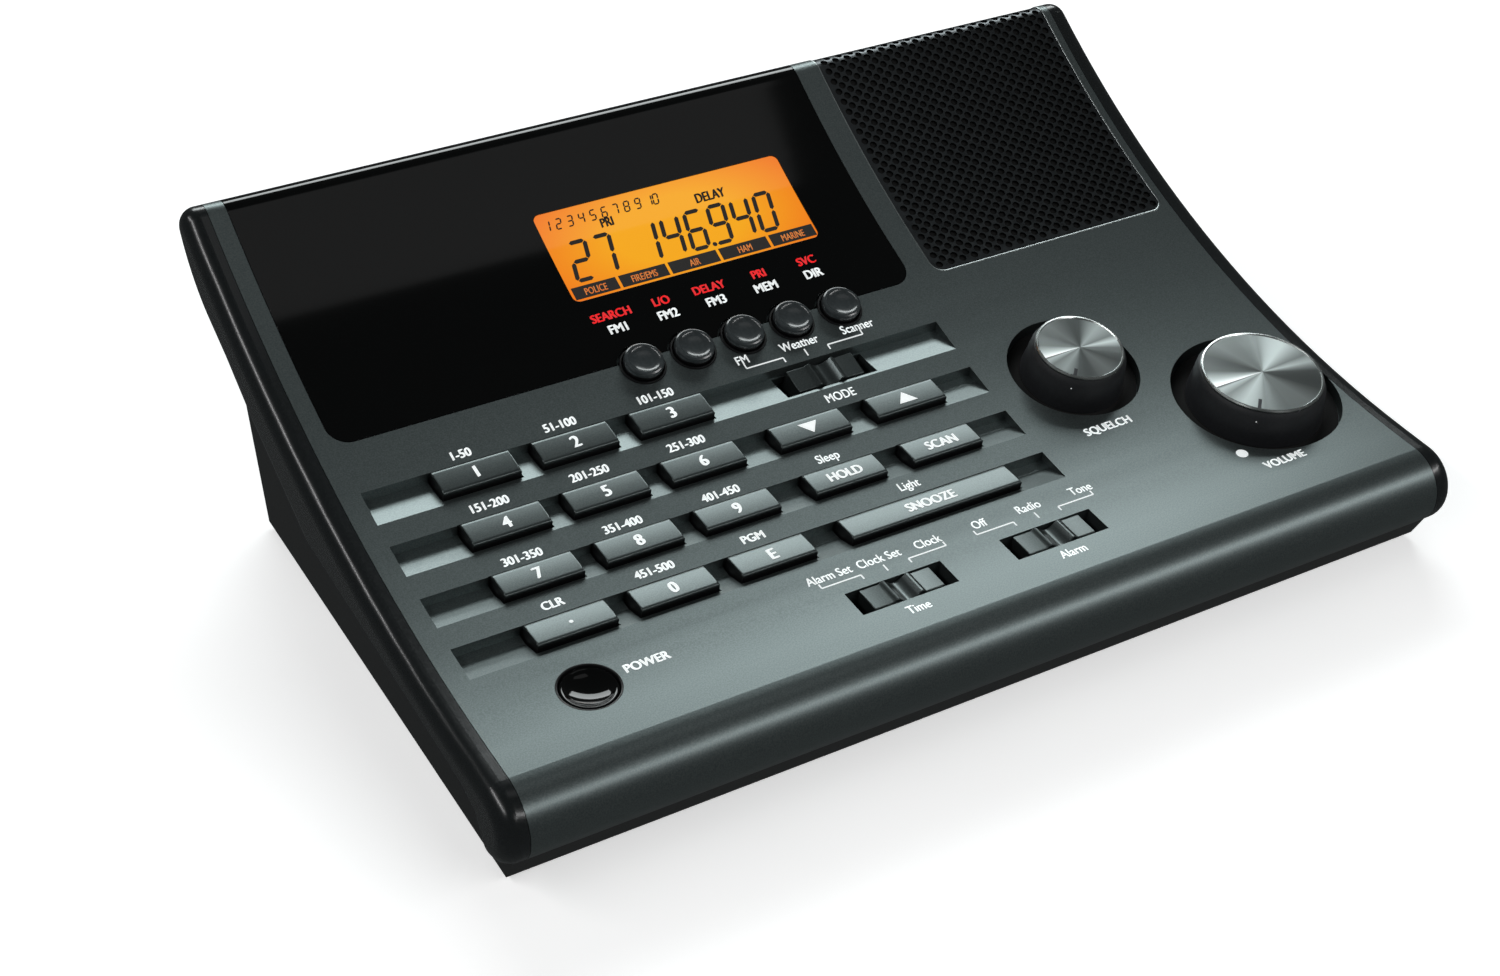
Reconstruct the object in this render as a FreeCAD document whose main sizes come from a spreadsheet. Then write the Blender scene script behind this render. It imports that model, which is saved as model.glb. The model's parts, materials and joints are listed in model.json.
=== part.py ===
import FreeCAD, Part
import math
import os
import re

import Sketcher
from FreeCAD import Placement, Rotation, Vector

# Desktop radio receiver with a keypad, a display window, a speaker grille and two knobs.
# +X is the operator's right, +Y is the back, +Z is up; z = 0 is the desk.

DIMENSIONS = {
    # case
    "case_width": 144.8,
    "seam_x": 69.0,
    "base_half_width": 70.4,
    "wall_top": 2.8,
    "wall_side": 2.0,
    "shell_gap": 0.15,
    # side view of the top: a flat, then an arc that sweeps up to the crest at the back
    "flat_height": 14.8,
    "sweep_radius": 157.0,
    "sweep_start": -39.7,
    "sweep_end": 45.86,
    "nose_radius": 5.6,
    "nose_y": -44.8,
    "lip_height": 5.0,
    "rail_radius": 2.4,
    "crest_radius": 2.93,
    "wing_radius": 20.0,
    # base
    "base_front_y": -46.4,
    "base_rear_y": 28.9,
    "base_rear_slope": 0.28,
    "floor_thickness": 2.0,
    # display lens and speaker grille, both let into the top
    "lens_left": -66.3,
    "lens_right": 22.3,
    "grille_left": 26.3,
    "grille_right": 67.8,
    "inset_front": 11.8,
    "lens_thickness": 1.2,
    "grille_thickness": 0.8,
    "lens_corner": 3.0,
    "grille_corner": 2.0,
    "inset_gap": 0.1,
    # display
    "lcd_left": -26.5,
    "lcd_right": 12.9,
    "lcd_front": 22.4,
    "lcd_back": 35.8,
    "lcd_rim_depth": 16.0,
    # key field
    "groove_left": -66.05,
    "groove_right": 21.4,
    "groove_drop": 1.6,
    "key_width": 11.0,
    "key_depth": 4.2,
    "snooze_width": 26.4,
    "key_rise_back": 0.4,
    "key_rise_front": 0.9,
    "key_bevel": 0.5,
    "key_skirt": 3.5,
    "key_flange": 0.7,
    "key_flange_thickness": 1.0,
    "key_travel": 1.0,
    "key_gap": 0.25,
    "keypad_tilt": 10.4,
    "keypad_y": -11.6,
    "mat_depth": 5.75,
    "mat_thickness": 1.4,
    "keypad_board_thickness": 1.2,
    # round memory buttons
    "button_y": 10.7,
    "button_diameter": 5.6,
    "collar_diameter": 6.6,
    "button_rise": 1.5,
    "button_travel": 0.8,
    # power button
    "power_x": -53.9,
    "power_y": -35.4,
    "power_diameter": 7.4,
    "power_travel": 1.0,
    # knobs
    "knob_rise": 4.2,
    "knob_well_depth": 1.8,
    "squelch_x": 35.4,
    "squelch_y": -10.3,
    "squelch_radius": 6.34,
    "squelch_well": 9.6,
    "volume_x": 56.8,
    "volume_y": -25.0,
    "volume_radius": 8.7,
    "volume_well": 12.2,
    "shaft_radius": 3.0,
    "shaft_clearance": 0.05,
    "knob_flare": 1.1,
    "pot_radius": 5.2,
    "pot_depth": 3.4,
    # slide switches
    "slider_length": 10.5,
    "slider_depth": 3.9,
    "slider_travel": 1.6,
    "slot_length": 14.4,
    "slot_depth": 4.5,
    "slider_skirt": 3.4,
    "slider_stem": 2.0,
    "switch_length": 12.0,
    "switch_width": 4.4,
    "switch_height": 1.6,
    "finger_rest_radius": 2.3,
    # electronics
    "board_thickness": 1.6,
    "board_height": 3.4,
    "board_half_width": 64.0,
    "board_front_y": -41.5,
    "board_back_y": 25.5,
    "thin_board": 1.0,
    # rear wall sockets
    "antenna_x": 54.0,
    "phone_x": 30.0,
    "power_jack_x": 10.0,
    "jack_height": 11.5,
    "phone_bore": 1.75,
    "power_bore": 2.75,
    "antenna_barrel": 4.8,
    "antenna_bore": 4.05,
    # coin cell bay in the floor
    "bay_left": -50.0,
    "bay_right": -26.0,
    "bay_front": 6.0,
    "bay_back": 26.4,
    "bay_height": 5.8,
    "bay_wall": 1.2,
    "door_thickness": 1.4,
    "door_gap": 0.3,
    # speaker
    "speaker_x": 47.0,
    "speaker_y": 22.5,
    "speaker_radius": 15.0,
    "mouth_margin": 4.2,
    "magnet_radius": 6.0,
    # fasteners and feet
    "screw_x": 65.2,
    "screw_front_y": -37.0,
    "screw_back_y": 22.0,
    "screw_well_top": 1.9,
    "screw_well_radius": 3.0,
    "screw_clearance": 1.6,
    "screw_head_radius": 2.6,
    "screw_shank_radius": 1.15,
    "screw_length": 6.0,
    "boss_radius": 2.8,
    "boss_bore": 1.2,
    "foot_radius": 4.0,
    "foot_height": 0.8,
}

doc = FreeCAD.newDocument("desktop_receiver")
sheet = doc.addObject("Spreadsheet::Sheet", "Dimensions")
for row, (alias, number) in enumerate(DIMENSIONS.items(), start=1):
    sheet.set(f"A{row}", alias)
    sheet.set(f"B{row}", str(number))
    sheet.setAlias(f"B{row}", alias)
doc.recompute()

ALIAS_WORD = re.compile(r"\b([a-z]+(?:_[a-z]+)+)\b")
sub_parts = []


# ---------------------------------------------------------------- helpers
def value(expression):
    """The number that an expression over the sheet's aliases gives."""
    return float(sheet.evalExpression(str(expression)))


def bound(expression):
    """The same expression as another object has to write it."""
    return ALIAS_WORD.sub(r"Dimensions.\1", str(expression))


def bind(thing, **properties):
    """Bind properties of an object to expressions over the sheet."""
    for name, expression in properties.items():
        thing.setExpression(name, bound(expression))


def keep(thing, label):
    """Name an object as one of the finished sub-parts."""
    thing.Label = label
    sub_parts.append(thing)
    return thing


def surface(y):
    """Expression for the height of the top at depth y on the sweep."""
    drop = f"sqrt(sweep_radius ^ 2 - ({y} - (sweep_start)) ^ 2)"
    return f"(flat_height + sweep_radius - {drop})"


def surface_tilt(y):
    """Angle in degrees between the top at depth y and the desk."""
    reach = max(0.0, y - value("sweep_start"))
    return math.degrees(math.asin(reach / value("sweep_radius")))


def surface_frame(x, y, sink=0.0):
    """Frame on the top at (x, y): its Z is the surface normal, sunk by the given depth."""
    tilt = surface_tilt(y)
    height = value(surface(y)) if tilt > 0.0 else value("flat_height")
    turn = Rotation(Vector(1, 0, 0), tilt)
    return Placement(Vector(x, y, height) - turn.multVec(Vector(0, 0, sink)), turn)


def keypad_frame(x, y):
    """Frame on the top at (x, y) whose Z is the direction in which the keys travel."""
    turn = Rotation(Vector(1, 0, 0), value("keypad_tilt"))
    return Placement(Vector(x, y, value(surface(y))), turn)


def new_body(name):
    return doc.addObject("PartDesign::Body", name)


def new_sketch(body, name, role="XY_Plane", offset=Placement()):
    """A sketch on one of the body's own origin planes."""
    sketch = body.newObject("Sketcher::SketchObject", name)
    plane = next(f for f in body.Origin.OriginFeatures if f.Role == role)
    sketch.AttachmentSupport = [(plane, "")]
    sketch.MapMode = "FlatFace"
    sketch.AttachmentOffset = offset
    return sketch


def pin(sketch, geometry, end, x, y):
    """Hold one point of a sketch at (x, y), both expressions over the sheet."""
    for kind, expression in (("DistanceX", x), ("DistanceY", y)):
        number = value(expression)
        index = sketch.addConstraint(Sketcher.Constraint(kind, -1, 1, geometry, end, number))
        sketch.setExpression(f"Constraints[{index}]", bound(expression))


def outline(sketch, corners):
    """Closed outline through corners (x, y) or (x, y, radius).

    A radius makes the edge that arrives at the corner an arc: positive turns
    counter-clockwise, negative clockwise.
    """
    points = [Vector(value(c[0]), value(c[1]), 0) for c in corners]
    ends = []
    for number, corner in enumerate(corners):
        start, finish = points[number - 1], points[number]
        radius = value(corner[2]) if len(corner) > 2 else 0.0
        if radius == 0.0:
            edge = sketch.addGeometry(Part.LineSegment(start, finish))
            ends.append((edge, 1, 2))
            continue
        half = (finish - start) * 0.5
        across = Vector(-half.y, half.x, 0).normalize()
        rise = math.sqrt(radius * radius - half.Length ** 2)
        centre = start + half + across * math.copysign(rise, radius)
        first, last = (start, finish) if radius > 0 else (finish, start)
        angles = [math.atan2(p.y - centre.y, p.x - centre.x) for p in (first, last)]
        circle = Part.Circle(centre, Vector(0, 0, 1), abs(radius))
        edge = sketch.addGeometry(Part.ArcOfCircle(circle, angles[0], angles[1]))
        ends.append((edge, 1, 2) if radius > 0 else (edge, 2, 1))
        index = sketch.addConstraint(Sketcher.Constraint("Radius", edge, abs(radius)))
        sketch.setExpression(f"Constraints[{index}]", bound(f"abs({corner[2]})"))
    for number, corner in enumerate(corners):
        edge, _, finish = ends[number]
        following, start, _ = ends[(number + 1) % len(corners)]
        sketch.addConstraint(Sketcher.Constraint("Coincident", edge, finish, following, start))
        pin(sketch, edge, finish, corner[0], corner[1])


def rectangle(sketch, x, y, width, height):
    """Rectangle centred on (x, y)."""
    left, right = f"{x} - ({width}) / 2", f"{x} + ({width}) / 2"
    low, high = f"{y} - ({height}) / 2", f"{y} + ({height}) / 2"
    outline(sketch, [(left, low), (right, low), (right, high), (left, high)])


def circle(sketch, x, y, radius):
    edge = sketch.addGeometry(Part.Circle(Vector(value(x), value(y), 0), Vector(0, 0, 1), value(radius)))
    index = sketch.addConstraint(Sketcher.Constraint("Radius", edge, value(radius)))
    sketch.setExpression(f"Constraints[{index}]", bound(radius))
    pin(sketch, edge, 3, x, y)


def pad(body, sketch, length, side="One side", downwards=False):
    feature = body.newObject("PartDesign::Pad", sketch.Name + "_pad")
    feature.Profile = sketch
    feature.SideType = side
    feature.Reversed = downwards
    bind(feature, Length=length)
    return feature


def pocket(body, sketch, length, side="One side", upwards=False):
    """Cut a sketch out of the body, and make sure that it really cut."""
    doc.recompute()
    before = body.Shape.Volume
    feature = body.newObject("PartDesign::Pocket", sketch.Name + "_pocket")
    feature.Profile = sketch
    feature.SideType = side
    feature.Reversed = upwards
    bind(feature, Length=length)
    doc.recompute()
    if body.Shape.Volume > before - 1e-3:
        raise RuntimeError(f"{feature.Name} cuts nothing")
    return feature


def revolve(body, sketch):
    """Turn a profile drawn on the XZ plane about the body's own Z axis."""
    feature = body.newObject("PartDesign::Revolution", sketch.Name + "_turn")
    feature.Profile = sketch
    feature.ReferenceAxis = (next(f for f in body.Origin.OriginFeatures if f.Role == "Z_Axis"), [""])
    feature.Angle = 360
    return feature


def turned(name, label, frame, profile):
    """A body turned about the Z axis of its frame from (radius, height) corners."""
    body = new_body(name)
    sketch = new_sketch(body, name + "_profile", "XZ_Plane")
    outline(sketch, profile)
    revolve(body, sketch)
    body.Placement = frame
    if label:
        keep(body, label)
    return body


def plate(name, label, frame, corners, thickness):
    """A flat plate from (x, y) corners, from its frame's XY plane upwards."""
    body = new_body(name)
    sketch = new_sketch(body, name + "_outline")
    outline(sketch, corners)
    pad(body, sketch, thickness)
    body.Placement = frame
    if label:
        keep(body, label)
    return body


def box(name, x, y, z, length, width, height):
    """Part::Box centred on (x, y), standing on z."""
    solid = doc.addObject("Part::Box", name)
    bind(solid, Length=length, Width=width, Height=height)
    solid.Placement = Placement(Vector(x - value(length) / 2, y - value(width) / 2, z), Rotation())
    return solid


def cylinder(name, base, radius, height, direction=Vector(0, 0, 1)):
    solid = doc.addObject("Part::Cylinder", name)
    bind(solid, Radius=radius, Height=height)
    solid.Placement = Placement(base, Rotation(Vector(0, 0, 1), direction))
    return solid


def group(name, label, solids):
    """Several separate solids that are one sub-part."""
    compound = doc.addObject("Part::Compound", name)
    compound.Links = solids
    return keep(compound, label)


def cut(name, base, tools):
    """Base minus every tool."""
    result = base
    for number, tool in enumerate(tools):
        step = doc.addObject("Part::Cut", f"{name}_{number}")
        step.Base = result
        step.Tool = tool
        result = step
    return result


def fuse(name, solids):
    result = doc.addObject("Part::MultiFuse", name)
    result.Shapes = solids
    return result


# ---------------------------------------------------------------- side view of the case
nose_centre = "(flat_height - nose_radius)"
lip_reach = f"sqrt(nose_radius ^ 2 - ({nose_centre} - lip_height) ^ 2)"
lip_outer = ("nose_y - " + lip_reach, "lip_height")
end_tilt = math.radians(surface_tilt(value("sweep_end")))
crest_centre = (value("sweep_end") + math.sin(end_tilt) * value("crest_radius"),
                value(surface("sweep_end")) - math.cos(end_tilt) * value("crest_radius"))
TAIL_ANGLE = math.radians(-23.5)
tail = (f"{crest_centre[0]:.4f} + crest_radius * {math.cos(TAIL_ANGLE):.5f}",
        f"{crest_centre[1]:.4f} + crest_radius * ({math.sin(TAIL_ANGLE):.5f})")

OUTER_EDGE = [
    lip_outer,
    ("nose_y", "flat_height", "-nose_radius"),
    ("sweep_start", "flat_height"),
    ("sweep_end", surface("sweep_end"), "sweep_radius"),
    (*tail, "-crest_radius"),
    ("41.4", "27.3", "-wing_radius"),
]
inner_radius = "(sweep_radius + wall_top)"


def inner_surface(y, radius=inner_radius):
    """Expression for the height at depth y of an arc parallel to the top."""
    return f"(flat_height + sweep_radius - sqrt({radius} ^ 2 - ({y} - (sweep_start)) ^ 2))"


INNER_EDGE = [
    ("36.0", "24.6"),
    ("35.2", "26.4"),
    ("40.6", "29.2"),
    ("45.8", "34.6", "18"),
    ("45.0", inner_surface("45.0")),
    ("sweep_start", "flat_height - wall_top", f"-{inner_radius}"),
    ("nose_y", "flat_height - wall_top"),
    ("nose_y - nose_radius + wall_top", nose_centre, "nose_radius - wall_top"),
    ("-46.3", "lip_height"),
]
# lower edge of the cheeks, from the back to the front, and of the base's sides under it
CHEEK_LOWER_EDGE = [
    ("34.7", "24.1"),
    ("26.6", "19.4"),
    ("17.0", "15.0"),
    ("10.2", "13.3"),
    ("-12.6", "12.1"),
    ("-38.8", "10.6"),
    ("-42.6", "9.4"),
    ("-45.6", "lip_height"),
]

# ---------------------------------------------------------------- key field layout
KEY_COLUMNS = [-56.62, -42.42, -28.08, -11.67, 3.59]
KEY_ROWS = [1.9, -6.9, -15.95, -25.0]
GROOVES = [(4.2, -1.1), (-4.7, -9.8), (-13.7, -18.8), (-22.6, -28.1)]
KEYS = {
    "key_1": (0, 0), "key_2": (0, 1), "key_3": (0, 2),
    "key_4": (1, 0), "key_5": (1, 1), "key_6": (1, 2), "key_down": (1, 3), "key_up": (1, 4),
    "key_7": (2, 0), "key_8": (2, 1), "key_9": (2, 2), "key_hold": (2, 3), "key_scan": (2, 4),
    "key_dot": (3, 0), "key_0": (3, 1), "key_enter": (3, 2), "key_snooze": (3, 3),
}
MEMORY_BUTTONS = {
    "button_memory_1": -22.2,
    "button_memory_2": -14.4,
    "button_memory_3": -6.5,
    "button_memory_4": 1.3,
    "button_memory_5": 9.2,
}
SLIDERS = {
    "mode_slider": (1.4, 1.5),
    "time_slider": (-10.6, -37.1),
    "alarm_slider": (13.0, -37.1),
}
KNOBS = ("squelch", "volume")


def key_place(label):
    """Centre and width of a key."""
    row, column = KEYS[label]
    width = value("snooze_width") if label == "key_snooze" else value("key_width")
    return KEY_COLUMNS[column] + width / 2, KEY_ROWS[row], width


keypad_origin = keypad_frame(0, value("keypad_y"))


def on_keypad(x, y):
    """Where the key axis through the top at (x, y) meets the keypad's sketch plane."""
    local = keypad_origin.inverse().multVec(Vector(x, y, value(surface(y))))
    return local.x, local.y


# ---------------------------------------------------------------- case
def inset_blank(name, left, right, thickness, corner, grow):
    """Sheet that follows the top from inset_front over the crest, with rounded front corners."""
    body = new_body(name)
    sketch = new_sketch(body, name + "_edge", "YZ_Plane",
                        Placement(Vector(0, 0, (value(left) + value(right)) / 2), Rotation()))
    outer = [
        (f"inset_front - {grow}", surface(f"(inset_front - {grow})")),
        ("sweep_end", surface("sweep_end"), "sweep_radius"),
        (*tail, "-crest_radius"),
    ]
    deep = f"(sweep_radius + {thickness})"
    under_end = f"(sweep_end + {math.sin(end_tilt):.5f} * {thickness})"
    inner = [
        (f"{crest_centre[0]:.4f} + (crest_radius - {thickness}) * {math.cos(TAIL_ANGLE):.5f}",
         f"{crest_centre[1]:.4f} + (crest_radius - {thickness}) * ({math.sin(TAIL_ANGLE):.5f})"),
        (under_end, inner_surface(under_end, deep), f"(crest_radius - {thickness})"),
        (f"inset_front - {grow}", inner_surface(f"(inset_front - {grow})", deep), f"-{deep}"),
    ]
    outline(sketch, outer + inner)
    sheet_pad = pad(body, sketch, f"{right} - ({left}) + 2 * {grow}", "Symmetric")
    doc.recompute()
    if corner:
        front = value("inset_front") - value(grow)
        edges = [f"Edge{n}" for n, edge in enumerate(body.Shape.Edges, start=1)
                 if all(abs(v.Y - front) < 0.01 for v in edge.Vertexes)
                 and abs(edge.Vertexes[0].X - edge.Vertexes[-1].X) < 0.01]
        rounding = body.newObject("PartDesign::Fillet", name + "_corners")
        rounding.Base = (sheet_pad, edges)
        bind(rounding, Radius=corner)
        doc.recompute()
    return body


def make_top_shell():
    body = new_body("top_shell_blank")
    section = new_sketch(body, "top_section", "YZ_Plane")
    outline(section, OUTER_EDGE + INNER_EDGE)
    pad(body, section, "2 * (seam_x - shell_gap / 2)", "Symmetric")

    centre_x = (value("groove_left") + value("groove_right")) / 2
    for number, (back, front) in enumerate(GROOVES):
        scoop = new_sketch(body, f"groove_{number}", "YZ_Plane",
                           Placement(Vector(0, 0, centre_x), Rotation()))
        outline(scoop, [
            (front, surface(front)),
            (f"{back} - groove_drop", f"{surface(back)} - groove_drop"),
            (back, f"{surface(back)} - groove_drop * 0.9"),
            (back, f"{surface(back)} + 2"),
            (front, f"{surface(front)} + 2"),
        ])
        pocket(body, scoop, "groove_right - (groove_left)", "Symmetric")

    windows = new_sketch(body, "key_windows", "XY_Plane", keypad_origin)
    for label in KEYS:
        x, y, width = key_place(label)
        across, along = on_keypad(x, y)
        rectangle(windows, f"{across:.4f}", f"{along:.4f}", f"{width} + 2 * key_gap", "key_depth + 2 * key_gap")
    pocket(body, windows, "30", "Symmetric")

    for name, (x, y) in SLIDERS.items():
        slot = new_sketch(body, name + "_slot", "XY_Plane", surface_frame(x, y))
        rectangle(slot, "0", "0", "slot_length", "slot_depth")
        pocket(body, slot, "12", "Symmetric")

    buttons = new_sketch(body, "memory_button_holes", "XY_Plane", surface_frame(0, value("button_y")))
    for x in MEMORY_BUTTONS.values():
        circle(buttons, str(x), "0", "collar_diameter / 2")
    pocket(body, buttons, "12", "Symmetric")

    power = new_sketch(body, "power_hole", "XY_Plane", surface_frame(value("power_x"), value("power_y")))
    circle(power, "0", "0", "power_diameter / 2 + key_gap")
    pocket(body, power, "12", "Symmetric")

    for knob in KNOBS:
        frame = surface_frame(value(knob + "_x"), value(knob + "_y"))
        well = new_sketch(body, knob + "_well", "XY_Plane", frame)
        circle(well, "0", "0", knob + "_well")
        pocket(body, well, "2 * knob_well_depth", "Symmetric")
        hole = new_sketch(body, knob + "_shaft_hole", "XY_Plane", frame)
        circle(hole, "0", "0", "shaft_radius + shaft_clearance")
        pocket(body, hole, "12", "Symmetric")

    lcd_y = (value("lcd_front") + value("lcd_back")) / 2
    window = new_sketch(body, "lcd_window", "XY_Plane", surface_frame(0, lcd_y))
    rectangle(window, "(lcd_left + lcd_right) / 2", "0", "lcd_right - (lcd_left) + 1", "lcd_rim_depth + 0.4")
    pocket(body, window, "9", "Symmetric")

    mouth = new_sketch(body, "speaker_mouth", "XY_Plane",
                       surface_frame(value("speaker_x"), value("speaker_y")))
    circle(mouth, "0", "0", "speaker_radius - mouth_margin")
    pocket(body, mouth, "10", "Symmetric")

    lens_bed = inset_blank("lens_bed", "lens_left", "lens_right", "lens_thickness", "lens_corner", "inset_gap")
    grille_bed = inset_blank("grille_bed", "grille_left", "grille_right", "grille_thickness",
                             "grille_corner", "inset_gap")
    shell = cut("top_shell_inset", body, [lens_bed, grille_bed])

    bosses = []
    for x in (-value("screw_x"), value("screw_x")):
        for y in (value("screw_front_y"), value("screw_back_y")):
            top = value(inner_surface(y)) + 0.6
            foot = value("foot_height + floor_thickness") + 0.1
            post = cylinder("screw_boss", Vector(x, y, foot), "boss_radius", f"{top - foot:.3f}")
            bore = cylinder("screw_bore", Vector(x, y, foot - 1), "boss_bore", "screw_length + 1.5")
            bosses.append(cut("bored_boss", post, [bore]))
    whole = fuse("top_shell", [shell] + bosses)
    keep(whole, "top_shell")


def make_cheeks():
    for side, sign in (("left", -1), ("right", 1)):
        body = new_body(side + "_cheek")
        middle = sign * (value("seam_x") + value("case_width") / 2) / 2
        sketch = new_sketch(body, side + "_cheek_outline", "YZ_Plane",
                            Placement(Vector(0, 0, middle), Rotation()))
        outline(sketch, OUTER_EDGE + CHEEK_LOWER_EDGE)
        side_pad = pad(body, sketch, "case_width / 2 - seam_x", "Symmetric")
        doc.recompute()
        outer_x = sign * value("case_width") / 2
        sweep_edges = [f"Edge{n}" for n, edge in enumerate(body.Shape.Edges, start=1)
                       if all(abs(v.X - outer_x) < 0.01 for v in edge.Vertexes)
                       and getattr(edge.Curve, "Radius", 0.0) == value("sweep_radius")]
        rail = body.newObject("PartDesign::Fillet", side + "_cheek_rail")
        rail.Base = (side_pad, sweep_edges)
        bind(rail, Radius="rail_radius")
        keep(body, side + "_cheek")


def make_base_shell():
    body = new_body("base_blank")
    side = new_sketch(body, "base_side", "YZ_Plane")
    outline(side, [
        ("base_front_y", "foot_height"),
        ("base_rear_y + base_rear_slope * foot_height", "foot_height"),
        ("base_rear_y + base_rear_slope * 24.0", "24.0"),
        *CHEEK_LOWER_EDGE,
        ("-48.3", "lip_height"),
    ])
    pad(body, side, "2 * base_half_width", "Symmetric")
    hollow = new_sketch(body, "base_hollow", "YZ_Plane")
    outline(hollow, [
        ("base_front_y + wall_side", "foot_height + floor_thickness"),
        ("base_rear_y - wall_side + 1", "foot_height + floor_thickness"),
        ("base_rear_y - wall_side + base_rear_slope * 40", "40"),
        ("base_front_y + wall_side", "40"),
    ])
    pocket(body, hollow, "2 * (base_half_width - wall_side)", "Symmetric")

    floor = Placement(Vector(0, 0, value("foot_height")), Rotation())
    bay = new_sketch(body, "bay_walls", "XY_Plane", floor)
    rectangle(bay, "(bay_left + bay_right) / 2", "(bay_front + bay_back) / 2",
              "bay_right - (bay_left) + 2 * bay_wall", "bay_back - bay_front + 2 * bay_wall")
    pad(body, bay, "bay_height + bay_wall")
    bay_space = new_sketch(body, "bay_space", "XY_Plane", floor)
    rectangle(bay_space, "(bay_left + bay_right) / 2", "(bay_front + bay_back) / 2",
              "bay_right - (bay_left)", "bay_back - bay_front")
    pocket(body, bay_space, "2 * bay_height", "Symmetric")

    screws = new_sketch(body, "screw_clearance")
    for x in ("-screw_x", "screw_x"):
        for y in ("screw_front_y", "screw_back_y"):
            circle(screws, x, y, "screw_clearance")
    pocket(body, screws, "9", "Symmetric")
    heads = new_sketch(body, "screw_head_wells")
    for x in ("-screw_x", "screw_x"):
        for y in ("screw_front_y", "screw_back_y"):
            circle(heads, x, y, "screw_well_radius")
    pocket(body, heads, "2 * screw_well_top", "Symmetric")

    vents = new_sketch(body, "floor_vents")
    for number in range(7):
        rectangle(vents, f"{2.0 + 5 * number}", "-18", "2.0", "16")
    pocket(body, vents, "9", "Symmetric")

    holes = []
    for x, radius in (("antenna_x", "4.9"), ("phone_x", "3.1"), ("power_jack_x", "4.1")):
        base = Vector(value(x), 20, value("jack_height"))
        holes.append(cylinder("jack_hole", base, radius, "20", Vector(0, 1, 0)))
    keep(cut("base_shell", body, holes), "base_shell")


# ---------------------------------------------------------------- display and grille
def make_insets():
    lens = inset_blank("lens_sheet", "lens_left", "lens_right", "lens_thickness", "lens_corner", "0")
    frame = surface_frame(0, value("button_y"))
    scallops = []
    for x in MEMORY_BUTTONS.values():
        centre = frame.multVec(Vector(x, 0, -4))
        scallops.append(cylinder("lens_scallop", centre, "collar_diameter / 2 + 0.3", "8",
                                 frame.Rotation.multVec(Vector(0, 0, 1))))
    keep(cut("display_lens", lens, scallops), "display_lens")
    keep(inset_blank("speaker_grille", "grille_left", "grille_right", "grille_thickness",
                     "grille_corner", "0"), "speaker_grille")


def make_display():
    lcd_y = (value("lcd_front") + value("lcd_back")) / 2
    width = "lcd_right - (lcd_left)"
    middle = "(lcd_left + lcd_right) / 2"
    frame = new_body("lcd_frame")
    rim = new_sketch(frame, "lcd_rim")
    rectangle(rim, middle, "0", f"{width} + 0.6", "lcd_rim_depth")
    rectangle(rim, middle, "0", f"{width} - 1.6", "lcd_rim_depth - 2.4")
    pad(frame, rim, "1.2")
    frame.Placement = surface_frame(0, lcd_y, 2.8)
    keep(frame, "lcd_frame")
    half = f"({width}) / 2"
    for name, sink, thickness, grow in (("lcd_glass", 3.9, "1.0", 0.2), ("lcd_backlight", 5.0, "1.0", 0.0)):
        corners = [(f"{middle} - {half} - {grow}", "-7.8"), (f"{middle} + {half} + {grow}", "-7.8"),
                   (f"{middle} + {half} + {grow}", "7.0"), (f"{middle} - {half} - {grow}", "7.0")]
        plate(name, name, surface_frame(0, lcd_y, sink), corners, thickness)
    corners = [("-34", "-24.5"), ("20", "-24.5"), ("20", "4.5"), ("-34", "4.5")]
    plate("display_board", "display_board", surface_frame(0, lcd_y, 6.2), corners, "thin_board")


# ---------------------------------------------------------------- keys and buttons
def make_key(label):
    x, y, width = key_place(label)
    lean = surface_tilt(y) - value("keypad_tilt")
    climb = math.tan(math.radians(lean))
    body = new_body(label)
    cap = new_sketch(body, label + "_cap", "YZ_Plane")
    outline(cap, [
        ("-key_depth / 2", "-key_skirt"),
        ("key_depth / 2", "-key_skirt"),
        ("key_depth / 2", f"key_rise_back + key_depth / 2 * ({climb:.4f})"),
        ("-key_depth / 2 + key_bevel", f"key_rise_front - key_depth / 2 * ({climb:.4f})"),
        ("-key_depth / 2", f"key_rise_front - key_bevel - key_depth / 2 * ({climb:.4f})"),
    ])
    pad(body, cap, str(width), "Symmetric")
    flange = new_sketch(body, label + "_flange", "XY_Plane",
                        Placement(Vector(0, 0, -value("key_skirt")), Rotation()))
    rectangle(flange, "0", "0", f"{width} + 2 * key_flange", "key_depth + 2 * key_flange")
    pad(body, flange, "key_flange_thickness", downwards=True)
    body.Placement = keypad_frame(x, y)
    keep(body, label)


def make_keypad():
    for label in KEYS:
        make_key(label)
    left, right = "-64.5", "21.5"
    low, high = f"{on_keypad(0, -31.5)[1]:.3f}", f"{on_keypad(0, 3.9)[1]:.3f}"
    corners = [(left, low), (right, low), (right, high), (left, high)]
    turn = keypad_origin.Rotation
    up = turn.multVec(Vector(0, 0, 1))
    mat_base = keypad_origin.Base - up * value("mat_depth + mat_thickness")
    mat = new_body("keypad_mat")
    sheet_sketch = new_sketch(mat, "mat_sheet")
    outline(sheet_sketch, corners)
    pad(mat, sheet_sketch, "mat_thickness - 0.6")
    domes = new_sketch(mat, "mat_domes")
    for label in KEYS:
        x, y, _ = key_place(label)
        across, along = on_keypad(x, y)
        circle(domes, f"{across:.4f}", f"{along:.4f}", "1.8")
    pad(mat, domes, "mat_thickness")
    mat.Placement = Placement(mat_base, turn)
    keep(mat, "keypad_mat")
    plate("keypad_board", "keypad_board",
          Placement(mat_base - up * value("keypad_board_thickness"), turn), corners, "keypad_board_thickness")


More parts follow.
